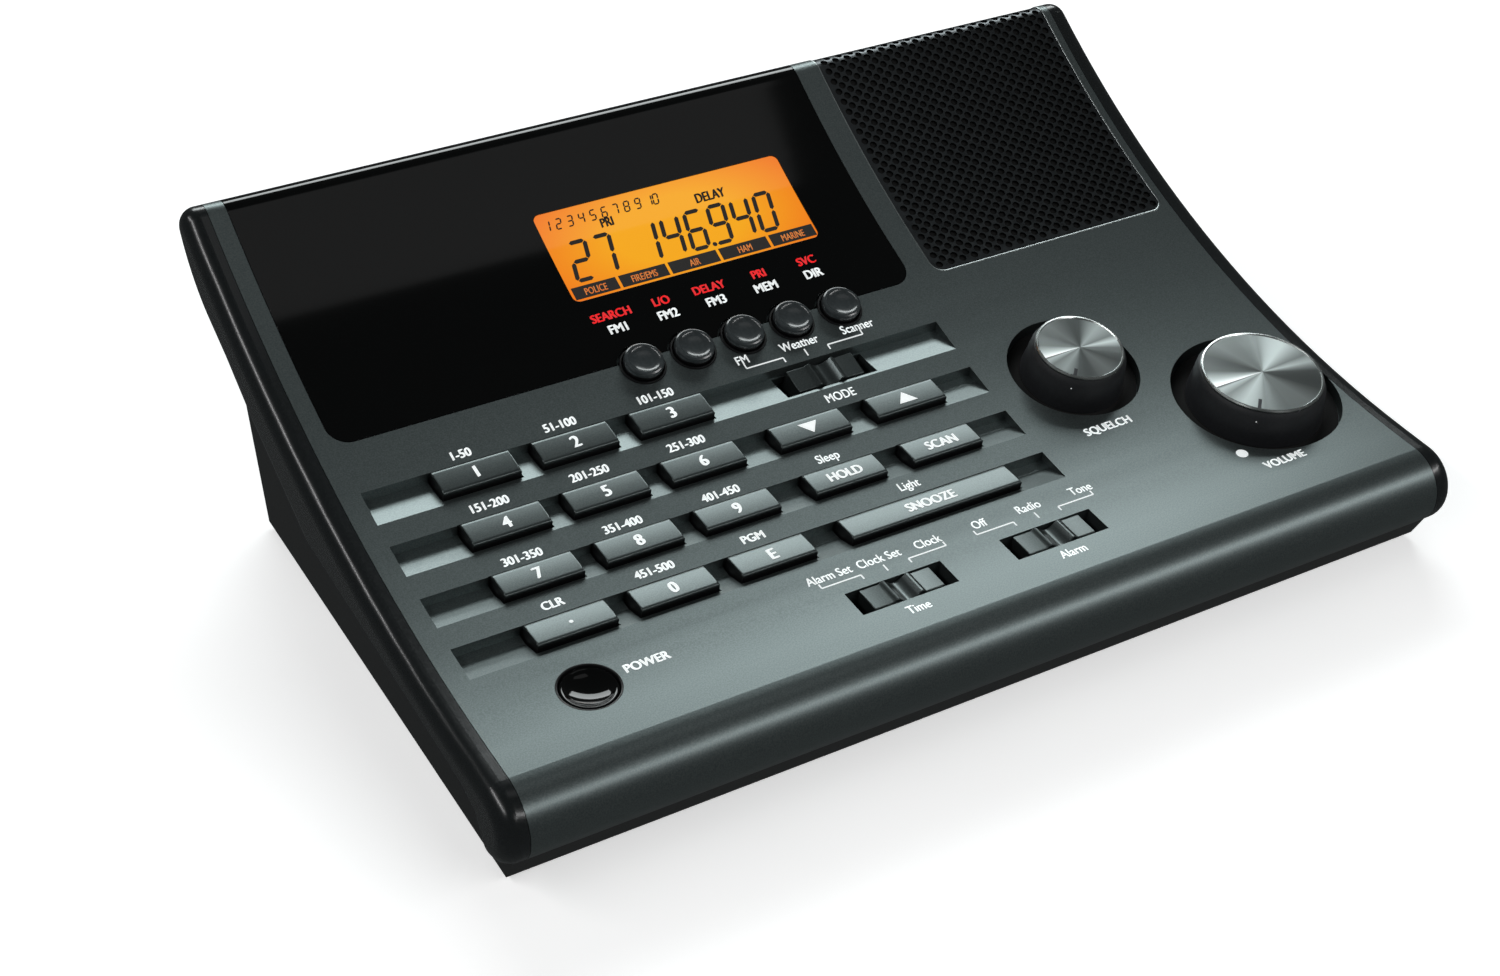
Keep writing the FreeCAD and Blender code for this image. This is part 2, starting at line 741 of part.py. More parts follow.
def make_buttons():
    for label, x in MEMORY_BUTTONS.items():
        turned(label, label, surface_frame(x, value("button_y")), [
            ("0", "-5.2"),
            ("collar_diameter / 2 + 0.5", "-5.2"),
            ("collar_diameter / 2 + 0.5", "-4.4"),
            ("button_diameter / 2", "-4.4"),
            ("button_diameter / 2", "button_rise - 0.5"),
            ("button_diameter / 2 - 0.5", "button_rise"),
            ("0", "button_rise"),
        ])
    turned("power_button", "power_button", surface_frame(value("power_x"), value("power_y")), [
        ("0", "-4.6"),
        ("power_diameter / 2 + 0.7", "-4.6"),
        ("power_diameter / 2 + 0.7", "-3.6"),
        ("power_diameter / 2", "-3.6"),
        ("power_diameter / 2", "-0.3"),
        ("power_diameter / 2 - 0.4", "0.0"),
        ("0", "-1.1", "-9.0"),
    ])


# ---------------------------------------------------------------- knobs
def make_knob(knob):
    frame = surface_frame(value(knob + "_x"), value(knob + "_y"))
    radius = knob + "_radius"
    turned(knob + "_knob", knob + "_knob", frame, [
        ("shaft_radius - 0.6", "-knob_well_depth + 0.3"),
        (f"{radius} + knob_flare", "-knob_well_depth + 0.3"),
        (f"{radius} + knob_flare / 2", "knob_rise - 1.2"),
        (f"{radius} + 0.2", "knob_rise - 0.5"),
        (f"{radius} - 0.3", "knob_rise - 0.5"),
        (f"{radius} - 0.3", "knob_rise - 1.0"),
        ("shaft_radius - 0.6", "knob_rise - 1.0"),
    ])
    turned(knob + "_cap", knob + "_cap", frame, [
        ("0", "knob_rise - 0.95"),
        (f"{radius} - 0.35", "knob_rise - 0.95"),
        (f"{radius} - 0.35", "knob_rise - 0.2"),
        (f"{radius} - 0.55", "knob_rise"),
        ("0", "knob_rise"),
    ])
    turned(knob + "_shaft", knob + "_shaft", frame, [
        ("0", "-5.4"),
        ("shaft_radius", "-5.4"),
        ("shaft_radius", "-knob_well_depth + 0.25"),
        ("shaft_radius - 0.65", "-knob_well_depth + 0.25"),
        ("shaft_radius - 0.65", "knob_rise - 1.0"),
        ("0", "knob_rise - 1.0"),
    ])
    turned(knob + "_pot", knob + "_pot", frame, [
        ("0", "-6.0 - pot_depth"),
        ("pot_radius", "-6.0 - pot_depth"),
        ("pot_radius", "-6.0"),
        ("0", "-6.0"),
    ])


# ---------------------------------------------------------------- slide switches
def make_sliders():
    cases = []
    for label, (x, y) in SLIDERS.items():
        frame = surface_frame(x, y)
        body = new_body(label)
        cap = new_sketch(body, label + "_cap", "XZ_Plane")
        outline(cap, [
            ("-slider_length / 2", "-slider_skirt"),
            ("slider_length / 2", "-slider_skirt"),
            ("slider_length / 2", "0.1"),
            ("1.7", "0.1"),
            ("-1.7", "0.1", "-finger_rest_radius"),
            ("-slider_length / 2", "0.1"),
        ])
        pad(body, cap, "slider_depth", "Symmetric")
        stem = new_sketch(body, label + "_stem", "XY_Plane",
                          Placement(Vector(0, 0, -value("slider_skirt")), Rotation()))
        rectangle(stem, "0", "0", "slider_stem", "slider_stem")
        pad(body, stem, "1.4", downwards=True)
        body.Placement = frame
        keep(body, label)
        case = new_body(label + "_switch")
        can = new_sketch(case, label + "_can", "XY_Plane", Placement(Vector(0, 0, -5.0), Rotation()))
        rectangle(can, "0", "0", "switch_length", "switch_width")
        pad(case, can, "switch_height", downwards=True)
        case.Placement = frame
        cases.append(case)
    group("slide_switch_bodies", "slide_switch_bodies", cases)


# ---------------------------------------------------------------- electronics
def make_boards():
    height = value("board_height")
    edge, front, back = "board_half_width", "board_front_y", "board_back_y"
    corners = [(f"-{edge}", front), (edge, front), (edge, back), ("-8", back),
               ("-8", "bay_front - 2.2"), (f"-{edge}", "bay_front - 2.2")]
    board = new_body("main_board")
    sketch = new_sketch(board, "main_board_outline")
    outline(sketch, corners)
    pad(board, sketch, "board_thickness")
    holes = new_sketch(board, "main_board_holes")
    for x in ("-screw_x", "screw_x"):
        circle(holes, x, "screw_front_y", "3.4")
    circle(holes, "screw_x", "screw_back_y", "3.4")
    pocket(board, holes, "board_thickness * 3", "Symmetric")
    board.Placement = Placement(Vector(0, 0, height), Rotation())
    keep(board, "main_board")

    top = height + value("board_thickness")
    can = box("shield_can", 7.0, 13.0, top, "26", "9.5", "6.0")
    keep(can, "rf_shield")


def make_speaker():
    frame = surface_frame(value("speaker_x"), value("speaker_y"))
    turned("speaker_basket", "speaker_basket", frame, [
        ("speaker_radius - 1.4", "-3.0"),
        ("speaker_radius", "-3.0"),
        ("speaker_radius", "-4.2"),
        ("speaker_radius - 2.0", "-4.2"),
        ("7.5", "-6.6"),
        ("4.0", "-6.6"),
        ("4.0", "-6.1"),
        ("7.2", "-6.1"),
        ("speaker_radius - 2.4", "-3.7"),
        ("speaker_radius - 1.4", "-3.7"),
    ])
    turned("speaker_cone", "speaker_cone", frame, [
        ("0", "-5.8"),
        ("3.6", "-5.8"),
        ("speaker_radius - 3.6", "-3.5"),
        ("speaker_radius - 1.6", "-3.3"),
        ("speaker_radius - 1.6", "-3.05"),
        ("speaker_radius - 3.6", "-3.1"),
        ("3.6", "-5.4"),
        ("0", "-5.4"),
    ])
    turned("speaker_magnet", "speaker_magnet", frame, [
        ("0", "-8.9"),
        ("magnet_radius", "-8.9"),
        ("magnet_radius", "-6.7"),
        ("0", "-6.7"),
    ])


def rear_wall_y(height):
    return value("base_rear_y") + value("base_rear_slope") * height


def socket(name, x, outer_radius, bore_radius, bore_depth, length, body_size):
    """Rear wall socket: a block behind the wall and a barrel through it, with an open bore."""
    height = value("jack_height")
    inner = rear_wall_y(height) - value("wall_side") - 1.2
    barrel = cylinder(name + "_barrel", Vector(x, inner - 0.5, height), outer_radius, str(length),
                      Vector(0, 1, 0))
    block = box(name + "_block", x, inner - body_size / 2, height - body_size / 2,
                str(body_size), str(body_size), str(body_size))
    end = inner - 0.5 + length
    bore = cylinder(name + "_bore", Vector(x, end - bore_depth, height), bore_radius,
                    str(bore_depth + 1), Vector(0, 1, 0))
    keep(cut(name, fuse(name + "_solid", [barrel, block]), [bore]), name)


def make_sockets():
    socket("phone_jack", value("phone_x"), "3.0", "phone_bore", 9.0, 5.0, 9.0)
    socket("power_jack", value("power_jack_x"), "4.0", "power_bore", 8.0, 4.6, 9.0)
    height = value("jack_height")
    wall = rear_wall_y(height)
    start = Vector(value("antenna_x"), wall - 7.4, height)
    back = Vector(0, 1, 0)
    barrel = cylinder("antenna_barrel", start, "antenna_barrel", "17.0", back)
    flange = cylinder("antenna_flange", start, "6.0", "3.6", back)
    lug = cylinder("antenna_lug", start + Vector(-5.6, 14.2, 0), "0.9", "11.2", Vector(1, 0, 0))
    bore = cylinder("antenna_bore", start + Vector(0, 9.0, 0), "antenna_bore", "9.0", back)
    contact = cylinder("antenna_contact", start + Vector(0, 8.0, 0), "1.0", "6.0", back)
    sleeve = cut("antenna_sleeve", fuse("antenna_solid", [barrel, flange, lug]), [bore])
    keep(fuse("antenna_jack", [sleeve, contact]), "antenna_jack")


# ---------------------------------------------------------------- battery bay, feet, screws
def make_battery_parts():
    door = doc.addObject("Part::Box", "battery_door")
    bind(door, Length="bay_right - (bay_left) - 2 * door_gap", Width="bay_back - bay_front - 2 * door_gap",
         Height="door_thickness")
    door.Placement = Placement(Vector(value("bay_left + door_gap"), value("bay_front + door_gap"),
                                      value("foot_height")), Rotation())
    keep(door, "battery_door")
    contacts = []
    middle = (value("bay_front") + value("bay_back")) / 2
    for x in (value("bay_left") + 0.35, value("bay_right") - 0.35):
        contacts.append(box("contact", x, middle, 2.6, "0.5", "8.0", "3.6"))
    group("battery_contacts", "battery_contacts", contacts)


def make_feet_and_screws():
    feet = []
    for x, y in ((-57.0, -41.0), (57.0, -41.0), (-64.5, 10.0), (64.5, 10.0)):
        feet.append(cylinder("foot", Vector(x, y, 0), "foot_radius", "foot_height"))
    group("rubber_feet", "rubber_feet", feet)
    screws = []
    for x in (-value("screw_x"), value("screw_x")):
        for y in (value("screw_front_y"), value("screw_back_y")):
            head = cylinder("screw_head", Vector(x, y, 0.9), "screw_head_radius", "1.0")
            shank = cylinder("screw_shank", Vector(x, y, 1.6), "screw_shank_radius", "screw_length")
            screws.append(fuse("case_screw", [head, shank]))
    group("case_screws", "case_screws", screws)


make_top_shell()
make_cheeks()
make_base_shell()
make_insets()
make_display()
make_keypad()
make_buttons()
for knob_name in KNOBS:
    make_knob(knob_name)
make_sliders()
make_boards()
make_speaker()
make_sockets()
make_battery_parts()
make_feet_and_screws()
doc.recompute()

# ---------------------------------------------------------------- checks and export
for thing in doc.Objects:
    if "Invalid" in thing.State or "Error" in thing.State:
        raise RuntimeError(f"{thing.Name} failed: {thing.State}")
os.makedirs("parts", exist_ok=True)
for part in sub_parts:
    if part.Shape.isNull() or not part.Shape.isValid():
        raise RuntimeError(f"{part.Label} has no valid shape")
    part.Shape.exportStep(f"parts/{part.Label}.step")
    limits = part.Shape.BoundBox
    print(f"{part.Label:22s} {part.Shape.Volume:9.1f} mm3  solids {len(part.Shape.Solids)}"
          f"  x {limits.XMin:7.2f} {limits.XMax:7.2f}  y {limits.YMin:7.2f} {limits.YMax:7.2f}"
          f"  z {limits.ZMin:6.2f} {limits.ZMax:6.2f}")
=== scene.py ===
import json
import math

import bmesh
import bpy
from mathutils import Matrix, Vector


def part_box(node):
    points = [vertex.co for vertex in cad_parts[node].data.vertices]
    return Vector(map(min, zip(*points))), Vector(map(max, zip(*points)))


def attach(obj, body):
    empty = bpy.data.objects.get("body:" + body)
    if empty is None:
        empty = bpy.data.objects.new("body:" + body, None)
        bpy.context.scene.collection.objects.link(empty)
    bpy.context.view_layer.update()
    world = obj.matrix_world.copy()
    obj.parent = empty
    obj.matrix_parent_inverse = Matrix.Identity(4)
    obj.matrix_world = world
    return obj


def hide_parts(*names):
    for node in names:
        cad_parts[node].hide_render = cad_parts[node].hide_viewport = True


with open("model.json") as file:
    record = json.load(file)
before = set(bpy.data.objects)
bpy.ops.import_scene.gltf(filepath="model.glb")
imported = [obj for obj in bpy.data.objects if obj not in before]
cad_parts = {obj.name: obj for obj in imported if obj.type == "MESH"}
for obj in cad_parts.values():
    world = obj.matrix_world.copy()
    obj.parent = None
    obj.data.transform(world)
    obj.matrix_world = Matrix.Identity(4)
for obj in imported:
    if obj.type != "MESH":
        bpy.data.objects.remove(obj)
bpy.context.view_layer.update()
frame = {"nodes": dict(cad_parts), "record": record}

MM = 0.001

# Side view of the top: a flat, an arc that sweeps up to the back, and a tight round at the crest,
# which turns on past level by CREST_UNDERCUT degrees.
FLAT_HEIGHT = 14.8 * MM
SWEEP_START = -39.7 * MM
SWEEP_RADIUS = 157.0 * MM
SWEEP_END = 45.86 * MM
CREST_RADIUS = 2.93 * MM
CREST_UNDERCUT = 23.5
SWEEP_ANGLE = math.asin((SWEEP_END - SWEEP_START) / SWEEP_RADIUS)
CREST_ANGLE = math.radians(90 + CREST_UNDERCUT) + SWEEP_ANGLE
SWEEP_LENGTH = SWEEP_RADIUS * SWEEP_ANGLE
SKIN_LENGTH = SWEEP_LENGTH + CREST_RADIUS * CREST_ANGLE

# All keys lean by one angle. A flange of this half depth holds each key, this far below the top.
KEY_TILT = math.radians(10.4)
KEY_FLANGE_HALF = 2.8 * MM
KEY_FLANGE_DROP = 4.5 * MM
KEY_CROWN = 0.05 * MM

# What is printed on each key; the two arrow keys have a shape instead of a word.
KEYS = {f"key_{n}": str(n) for n in range(1, 10)}
KEYS |= {"key_dot": ".", "key_0": "0", "key_enter": "E", "key_hold": "HOLD", "key_scan": "SCAN",
         "key_snooze": "SNOOZE", "key_up": "", "key_down": ""}
MEMORY_BUTTONS = [f"button_memory_{n}" for n in range(1, 6)]
SLIDERS = ["mode_slider", "time_slider", "alarm_slider"]

# Depth of each row of controls, and of the front edge that the lens and the grille share
MEMORY_ROW = 10.7 * MM
POWER_ROW = -35.4 * MM
MODE_ROW = 1.5 * MM
LOWER_SLIDER_ROW = -37.1 * MM
HOOD_FRONT = 11.8 * MM

# Left, right, front and back edges of the display window
LCD = (-26.5 * MM, 12.9 * MM, 22.4 * MM, 35.8 * MM)
LCD_CORNER = 1.0 * MM

POINTER_ANGLE = math.radians(228)

# Radii below the first are on the axis; a plane takes points within the second as its own.
ON_AXIS = 1e-7
CUT_TOLERANCE = 1e-8


# ---- the top as a surface
def along(y):
    """Distance along the top, from where the flat ends, to depth y."""
    if y <= SWEEP_START:
        return y - SWEEP_START
    return SWEEP_RADIUS * math.asin((y - SWEEP_START) / SWEEP_RADIUS)


def skin(x, u, lift=0.0):
    """Point of the top at width x and distance u along it, lifted along its normal."""
    if u <= 0.0:
        return Vector((x, SWEEP_START + u, FLAT_HEIGHT + lift))
    if u <= SWEEP_LENGTH:
        angle = u / SWEEP_RADIUS
        reach = SWEEP_RADIUS - lift
        return Vector((x, SWEEP_START + reach * math.sin(angle),
                       FLAT_HEIGHT + SWEEP_RADIUS - reach * math.cos(angle)))
    end_y = SWEEP_START + (SWEEP_RADIUS + CREST_RADIUS) * math.sin(SWEEP_ANGLE)
    end_z = FLAT_HEIGHT + SWEEP_RADIUS - (SWEEP_RADIUS + CREST_RADIUS) * math.cos(SWEEP_ANGLE)
    angle = math.pi / 2 + SWEEP_ANGLE - (u - SWEEP_LENGTH) / CREST_RADIUS
    reach = CREST_RADIUS + lift
    return Vector((x, end_y + reach * math.cos(angle), end_z + reach * math.sin(angle)))


def tilt_at(y):
    """Slope of the top at depth y."""
    return max(0.0, math.asin((y - SWEEP_START) / SWEEP_RADIUS))


def seat(x, y):
    """Frame on the top at (x, y), with Z along the surface normal."""
    return Matrix.Translation(skin(x, along(y))) @ Matrix.Rotation(tilt_at(y), 4, "X")


def key_seat(node):
    """Frame on the top over a key, with Z along the key's travel. The key's flange gives the place."""
    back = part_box(node)[1][1]
    y = back - KEY_FLANGE_HALF * math.cos(KEY_TILT) - KEY_FLANGE_DROP * math.sin(KEY_TILT)
    place = Matrix.Translation(skin(middle_x(node), along(y))) @ Matrix.Rotation(KEY_TILT, 4, "X")
    return place, y


def middle_x(node):
    low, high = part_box(node)
    return (low[0] + high[0]) / 2


def body_of(node):
    """Name of the body that a CAD node belongs to."""
    return next(name for name, nodes in frame["record"]["behaviour"]["bodies"].items() if node in nodes)


# ---- materials
def shader_of(material):
    return material.node_tree.nodes["Principled BSDF"]


def wire(source, output, target, entry):
    """Link two nodes of one material."""
    source.id_data.links.new(source.outputs[output], target.inputs[entry])


def new_material(name, color, roughness, metallic=0.0, coat=0.0, coat_roughness=0.05):
    material = bpy.data.materials.new(name)
    material.use_nodes = True
    shader = shader_of(material)
    shader.inputs["Base Color"].default_value = (*color, 1.0)
    shader.inputs["Roughness"].default_value = roughness
    shader.inputs["Metallic"].default_value = metallic
    shader.inputs["Coat Weight"].default_value = coat
    shader.inputs["Coat Roughness"].default_value = coat_roughness
    return material


def add_noise(material, scale, bump=0.0, color_range=None, roughness_range=None, depth=1e-5,
              detail=3.0):
    """Fine noise over object space: it drives bump, colour and roughness, each only if asked for."""
    tree = material.node_tree
    shader = shader_of(material)
    place = tree.nodes.new("ShaderNodeTexCoord")
    noise = tree.nodes.new("ShaderNodeTexNoise")
    noise.inputs["Scale"].default_value = scale
    noise.inputs["Detail"].default_value = detail
    wire(place, "Object", noise, "Vector")
    if bump:
        relief = tree.nodes.new("ShaderNodeBump")
        relief.inputs["Strength"].default_value = bump
        relief.inputs["Distance"].default_value = depth
        wire(noise, "Fac", relief, "Height")
        wire(relief, "Normal", shader, "Normal")
    if color_range:
        ramp = tree.nodes.new("ShaderNodeValToRGB")
        for stop, position, color in zip(ramp.color_ramp.elements, (0.35, 0.65), color_range):
            stop.position = position
            stop.color = (*color, 1.0)
        wire(noise, "Fac", ramp, "Fac")
        wire(ramp, "Color", shader, "Base Color")
    if roughness_range:
        spread = tree.nodes.new("ShaderNodeMapRange")
        spread.inputs["To Min"].default_value = roughness_range[0]
        spread.inputs["To Max"].default_value = roughness_range[1]
        wire(noise, "Fac", spread, "Value")
        wire(spread, "Result", shader, "Roughness")
    return material


FLAKE_SCALE = 5200.0


def metallic_paint():
    """Satin dark grey paint with fine metal flake, faintly green."""
    dark, light = (0.100, 0.121, 0.121), (0.138, 0.162, 0.162)
    paint = new_material("metallic_paint", dark, 0.35, metallic=0.85)
    return add_noise(paint, FLAKE_SCALE, bump=0.12, depth=2e-6, detail=2.0, color_range=(dark, light),
                     roughness_range=(0.30, 0.40))


def key_paint():
    """The same paint on the keys, made darker as painted shade that dims their sheen, and smoother."""
    dark, light = (0.060, 0.072, 0.072), (0.080, 0.094, 0.094)
    paint = new_material("key_paint", dark, 0.28, metallic=0.85)
    return add_noise(paint, FLAKE_SCALE, detail=2.0, color_range=(dark, light),
                     roughness_range=(0.27, 0.30))


def moulded_plastic(name, color, roughness, grain=1800.0, bump=0.2):
    """Plastic or rubber with the fine grain of its mould."""
    plastic = new_material(name, color, roughness)
    brighter = tuple(c * 1.25 for c in color)
    return add_noise(plastic, grain, bump=bump, depth=8e-6, color_range=(color, brighter),
                     roughness_range=(roughness - 0.05, roughness + 0.06))


def gloss_black():
    """Clear lens printed black from behind."""
    lens = new_material("gloss_black", (0.0012, 0.0014, 0.0014), 0.05)
    shader_of(lens).inputs["Specular IOR Level"].default_value = 0.30
    return add_noise(lens, 60.0, roughness_range=(0.04, 0.07), detail=1.0)


# Painted highlights of a turned face, as lighter and darker wedges in its colour: share of a whole turn,
# and how bright the metal is there.
# The ramp's own ends, black and white, meet in one fine line.
SPUN_PAINTED_HIGHLIGHTS = [(0.01, 0.41), (0.04, 0.16), (0.09, 0.32), (0.15, 0.22), (0.23, 0.80), (0.29, 0.80),
               (0.36, 0.30), (0.44, 0.19), (0.48, 0.57), (0.51, 0.16), (0.58, 0.35), (0.66, 0.22),
               (0.72, 0.74), (0.80, 0.80), (0.86, 0.35), (0.93, 0.22), (0.97, 0.54)]
SPUN_TINT = (0.91, 1.0, 0.99)


def spun_aluminium():
    """Face turned on a lathe: its gloss spreads across the turning marks, and its colour goes in wedges
    of painted highlight and painted shade.
    """
    metal = new_material("spun_aluminium", SPUN_TINT, 0.34, metallic=1.0)
    tree = metal.node_tree
    shader = shader_of(metal)
    shader.inputs["Anisotropic"].default_value = 0.92
    tangent = tree.nodes.new("ShaderNodeTangent")
    tangent.direction_type = "RADIAL"
    tangent.axis = "Z"
    wire(tangent, "Tangent", shader, "Tangent")
    place = tree.nodes.new("ShaderNodeTexCoord")
    centre = tree.nodes.new("ShaderNodeMapping")
    centre.inputs["Location"].default_value = (-0.5, -0.5, 0.0)
    fan = tree.nodes.new("ShaderNodeTexGradient")
    fan.gradient_type = "RADIAL"
    # Base colour in wedges about the centre: painted highlights and painted shade, not the metal's own
    # tone.
    wedges = tree.nodes.new("ShaderNodeValToRGB")
    for position, shade in SPUN_PAINTED_HIGHLIGHTS:
        stop = wedges.color_ramp.elements.new(position)
        stop.color = (*(tint * shade for tint in SPUN_TINT), 1.0)
    wire(place, "Generated", centre, "Vector")
    wire(centre, "Vector", fan, "Vector")
    wire(fan, "Fac", wedges, "Fac")
    wire(wedges, "Color", shader, "Base Color")
    return metal


def brushed(name, color, roughness, bump=0.15):
    """Bare or plated metal with an uneven polish."""
    metal = new_material(name, color, roughness, metallic=1.0)
    return add_noise(metal, 900.0, bump=bump, depth=4e-6,
                     roughness_range=(roughness - 0.08, roughness + 0.1))


def ink(name, color, glow=0.0):
    """Screen printed legend; a bright ink can get a little light of its own: a painted glow on the
    legends of the top, and the backlight on the display's words.
    """
    print_ink = new_material(name, color, 0.55)
    shader = shader_of(print_ink)
    shader.inputs["Emission Color"].default_value = (*color, 1.0)
    shader.inputs["Emission Strength"].default_value = glow
    darker = tuple(c * 0.86 for c in color)
    return add_noise(print_ink, 2500.0, color_range=(darker, color), detail=1.0)


def amber_glow():
    """Backlit display, brightest in its middle and deeper orange at its ends."""
    glow = new_material("amber_glow", (0.05, 0.012, 0.0), 0.25, coat=1.0, coat_roughness=0.03)
    tree = glow.node_tree
    shader = shader_of(glow)
    place = tree.nodes.new("ShaderNodeTexCoord")
    move = tree.nodes.new("ShaderNodeMapping")
    move.vector_type = "TEXTURE"
    middle = skin((LCD[0] + LCD[1]) / 2, (along(LCD[2]) + along(LCD[3])) / 2)
    move.inputs["Location"].default_value = middle
    move.inputs["Scale"].default_value = (26 * MM, 14 * MM, 14 * MM)
    ball = tree.nodes.new("ShaderNodeTexGradient")
    ball.gradient_type = "SPHERICAL"
    ramp = tree.nodes.new("ShaderNodeValToRGB")
    deep_orange, bright_amber = ramp.color_ramp.elements
    deep_orange.position = 0.10
    deep_orange.color = (0.95, 0.20, 0.004, 1.0)
    bright_amber.position = 0.62
    bright_amber.color = (1.0, 0.43, 0.006, 1.0)
    wire(place, "Object", move, "Vector")
    wire(move, "Vector", ball, "Vector")
    wire(ball, "Fac", ramp, "Fac")
    wire(ramp, "Color", shader, "Emission Color")
    shader.inputs["Emission Strength"].default_value = 0.92
    return glow


def circuit_board():
    """Green solder mask over square-cornered copper areas."""
    copper_side, bare_side = (0.02, 0.17, 0.06), (0.008, 0.085, 0.03)
    board = new_material("solder_mask", bare_side, 0.35)
    tree = board.node_tree
    place = tree.nodes.new("ShaderNodeTexCoord")
    cells = tree.nodes.new("ShaderNodeTexVoronoi")
    cells.distance = "MANHATTAN"
    cells.inputs["Scale"].default_value = 260.0
    ramp = tree.nodes.new("ShaderNodeValToRGB")
    ramp.color_ramp.elements[0].color = (*copper_side, 1.0)
    ramp.color_ramp.elements[1].position = 0.4
    ramp.color_ramp.elements[1].color = (*bare_side, 1.0)
    wire(place, "Object", cells, "Vector")
    wire(cells, "Distance", ramp, "Fac")
    wire(ramp, "Color", shader_of(board), "Base Color")
    return board


MATERIALS = {
    "paint": metallic_paint(),
    # Keys and sliders: the case paint darkened, painted shade.
    "key": key_paint(),
    "cheek": moulded_plastic("cheek_plastic", (0.006, 0.0075, 0.008), 0.22, grain=2600.0, bump=0.02),
    "base": moulded_plastic("base_plastic", (0.005, 0.0057, 0.006), 0.36, grain=2600.0, bump=0.04),
    "black": moulded_plastic("black_plastic", (0.003, 0.003, 0.0035), 0.34, bump=0.1),
    "knob": moulded_plastic("knob_plastic", (0.014, 0.015, 0.017), 0.46, grain=2600.0, bump=0.12),
    "lens": gloss_black(),
    "button": moulded_plastic("button_plastic", (0.030, 0.036, 0.038), 0.18, bump=0.04),
    "spun": spun_aluminium(),
    "rim": brushed("bright_rim", (0.48, 0.51, 0.50), 0.24, bump=0.0),
    # Bead in a metal lighter than the case paint: painted highlight along the grille's edge.
    "bead": brushed("grille_bead_painted_highlight", (0.34, 0.37, 0.37), 0.28, bump=0.0),
    "grille": brushed("grille_sheet", (0.062, 0.068, 0.072), 0.30),
    "steel": brushed("tinned_steel", (0.62, 0.63, 0.64), 0.32),
    "nickel": brushed("nickel", (0.66, 0.65, 0.61), 0.22),
    "magnet": brushed("zinc_plate", (0.36, 0.37, 0.39), 0.45),
    "screw": brushed("black_zinc", (0.06, 0.06, 0.065), 0.40),
    "rubber": moulded_plastic("black_rubber", (0.014, 0.014, 0.014), 0.72, bump=0.4),
    "mat": moulded_plastic("grey_silicone", (0.16, 0.16, 0.165), 0.60, bump=0.3),
    "cone": moulded_plastic("pressed_paper", (0.015, 0.014, 0.013), 0.85, grain=900.0, bump=0.6),
    "cloth": moulded_plastic("speaker_cloth", (0.002, 0.002, 0.002), 0.95, grain=4000.0, bump=0.8),
    "milky": moulded_plastic("light_guide", (0.70, 0.66, 0.55), 0.45, bump=0.05),
    "board": circuit_board(),
    "amber": amber_glow(),
    "segment": ink("display_segment", (0.012, 0.006, 0.002)),
    "band": ink("display_band", (0.010, 0.006, 0.004)),
    "band_text": ink("display_band_text", (0.62, 0.20, 0.04), 0.5),
    # The white and red legends glow a little: painted glow, as printed ink is no lamp.
    "white": ink("white_ink", (0.82, 0.85, 0.85), 0.45),
    "red": ink("red_ink", (0.72, 0.010, 0.014), 0.55),
}


# ---- mesh helpers
def to_scene(name, data):
    """New object around a mesh, curve, light or camera."""
    thing = bpy.data.objects.new(name, data)
    bpy.context.scene.collection.objects.link(thing)
    return thing


def new_object(name, vertices, faces, materials, face_materials=None):
    mesh = bpy.data.meshes.new(name)
    mesh.from_pydata([tuple(v) for v in vertices], [], faces)
    for material in materials:
        mesh.materials.append(MATERIALS[material])
    if face_materials:
        mesh.polygons.foreach_set("material_index", face_materials)
    mesh.validate()
    return to_scene(name, mesh)


def tidy_normals(piece, angle=35.0):
    """Outward normals, smooth except across sharp edges."""
    work = bmesh.new()
    work.from_mesh(piece.data)
    bmesh.ops.recalc_face_normals(work, faces=work.faces)
    limit = math.radians(angle)
    for edge in work.edges:
        edge.smooth = len(edge.link_faces) == 2 and edge.calc_face_angle(0.0) < limit
    for face in work.faces:
        face.smooth = True
    work.to_mesh(piece.data)
    work.free()
    return piece


def flat_faces(piece):
    """Large faces keep their own normal, so that only the narrow edges look rounded."""
    weighted = piece.modifiers.new("flat_faces", "WEIGHTED_NORMAL")
    weighted.keep_sharp = True
    weighted.weight = 100


def round_edges(piece, width, segments=2, angle=35.0):
    """Narrow bevel on every edge sharper than the angle."""
    bevel = piece.modifiers.new("rounded_edges", "BEVEL")
    bevel.width = width
    bevel.segments = segments
    bevel.limit_method = "ANGLE"
    bevel.angle_limit = math.radians(angle)


def revolved(name, place, profile, materials, slot_of=None, segments=64):
    """Closed body of revolution about Z from (radius, height) corners; its object sits in its place."""
    vertices, faces, slots = [], [], []
    rings = []
    for radius, level in profile:
        if radius < ON_AXIS:
            rings.append([len(vertices)])
            vertices.append((0.0, 0.0, level))
            continue
        rings.append(list(range(len(vertices), len(vertices) + segments)))
        for step in range(segments):
            angle = 2 * math.pi * step / segments
            vertices.append((radius * math.cos(angle), radius * math.sin(angle), level))
    for number in range(len(rings) - 1):
        lower, upper = rings[number], rings[number + 1]
        slot_index = slot_of(number) if slot_of else 0
        for step in range(segments):
            following = (step + 1) % segments
            if len(lower) == 1 and len(upper) == 1:
                continue
            if len(lower) == 1:
                faces.append((lower[0], upper[following], upper[step]))
            elif len(upper) == 1:
                faces.append((lower[step], lower[following], upper[0]))
            else:
                faces.append((lower[step], lower[following], upper[following], upper[step]))
            slots.append(slot_index)
    piece = new_object(name, vertices, faces, materials, slots)
    tidy_normals(piece)
    piece.matrix_world = place
    return piece


def plan_mesh(outline, holes=()):
    """Flat triangulated mesh in (x, u) of an outline with holes."""
    work = bmesh.new()
    for loop in (outline, *holes):
        points = [work.verts.new((x, u, 0.0)) for x, u in loop]
        for number, point in enumerate(points):
            work.edges.new((points[number - 1], point))
    bmesh.ops.triangle_fill(work, edges=work.edges[:], use_beauty=True)
    return work


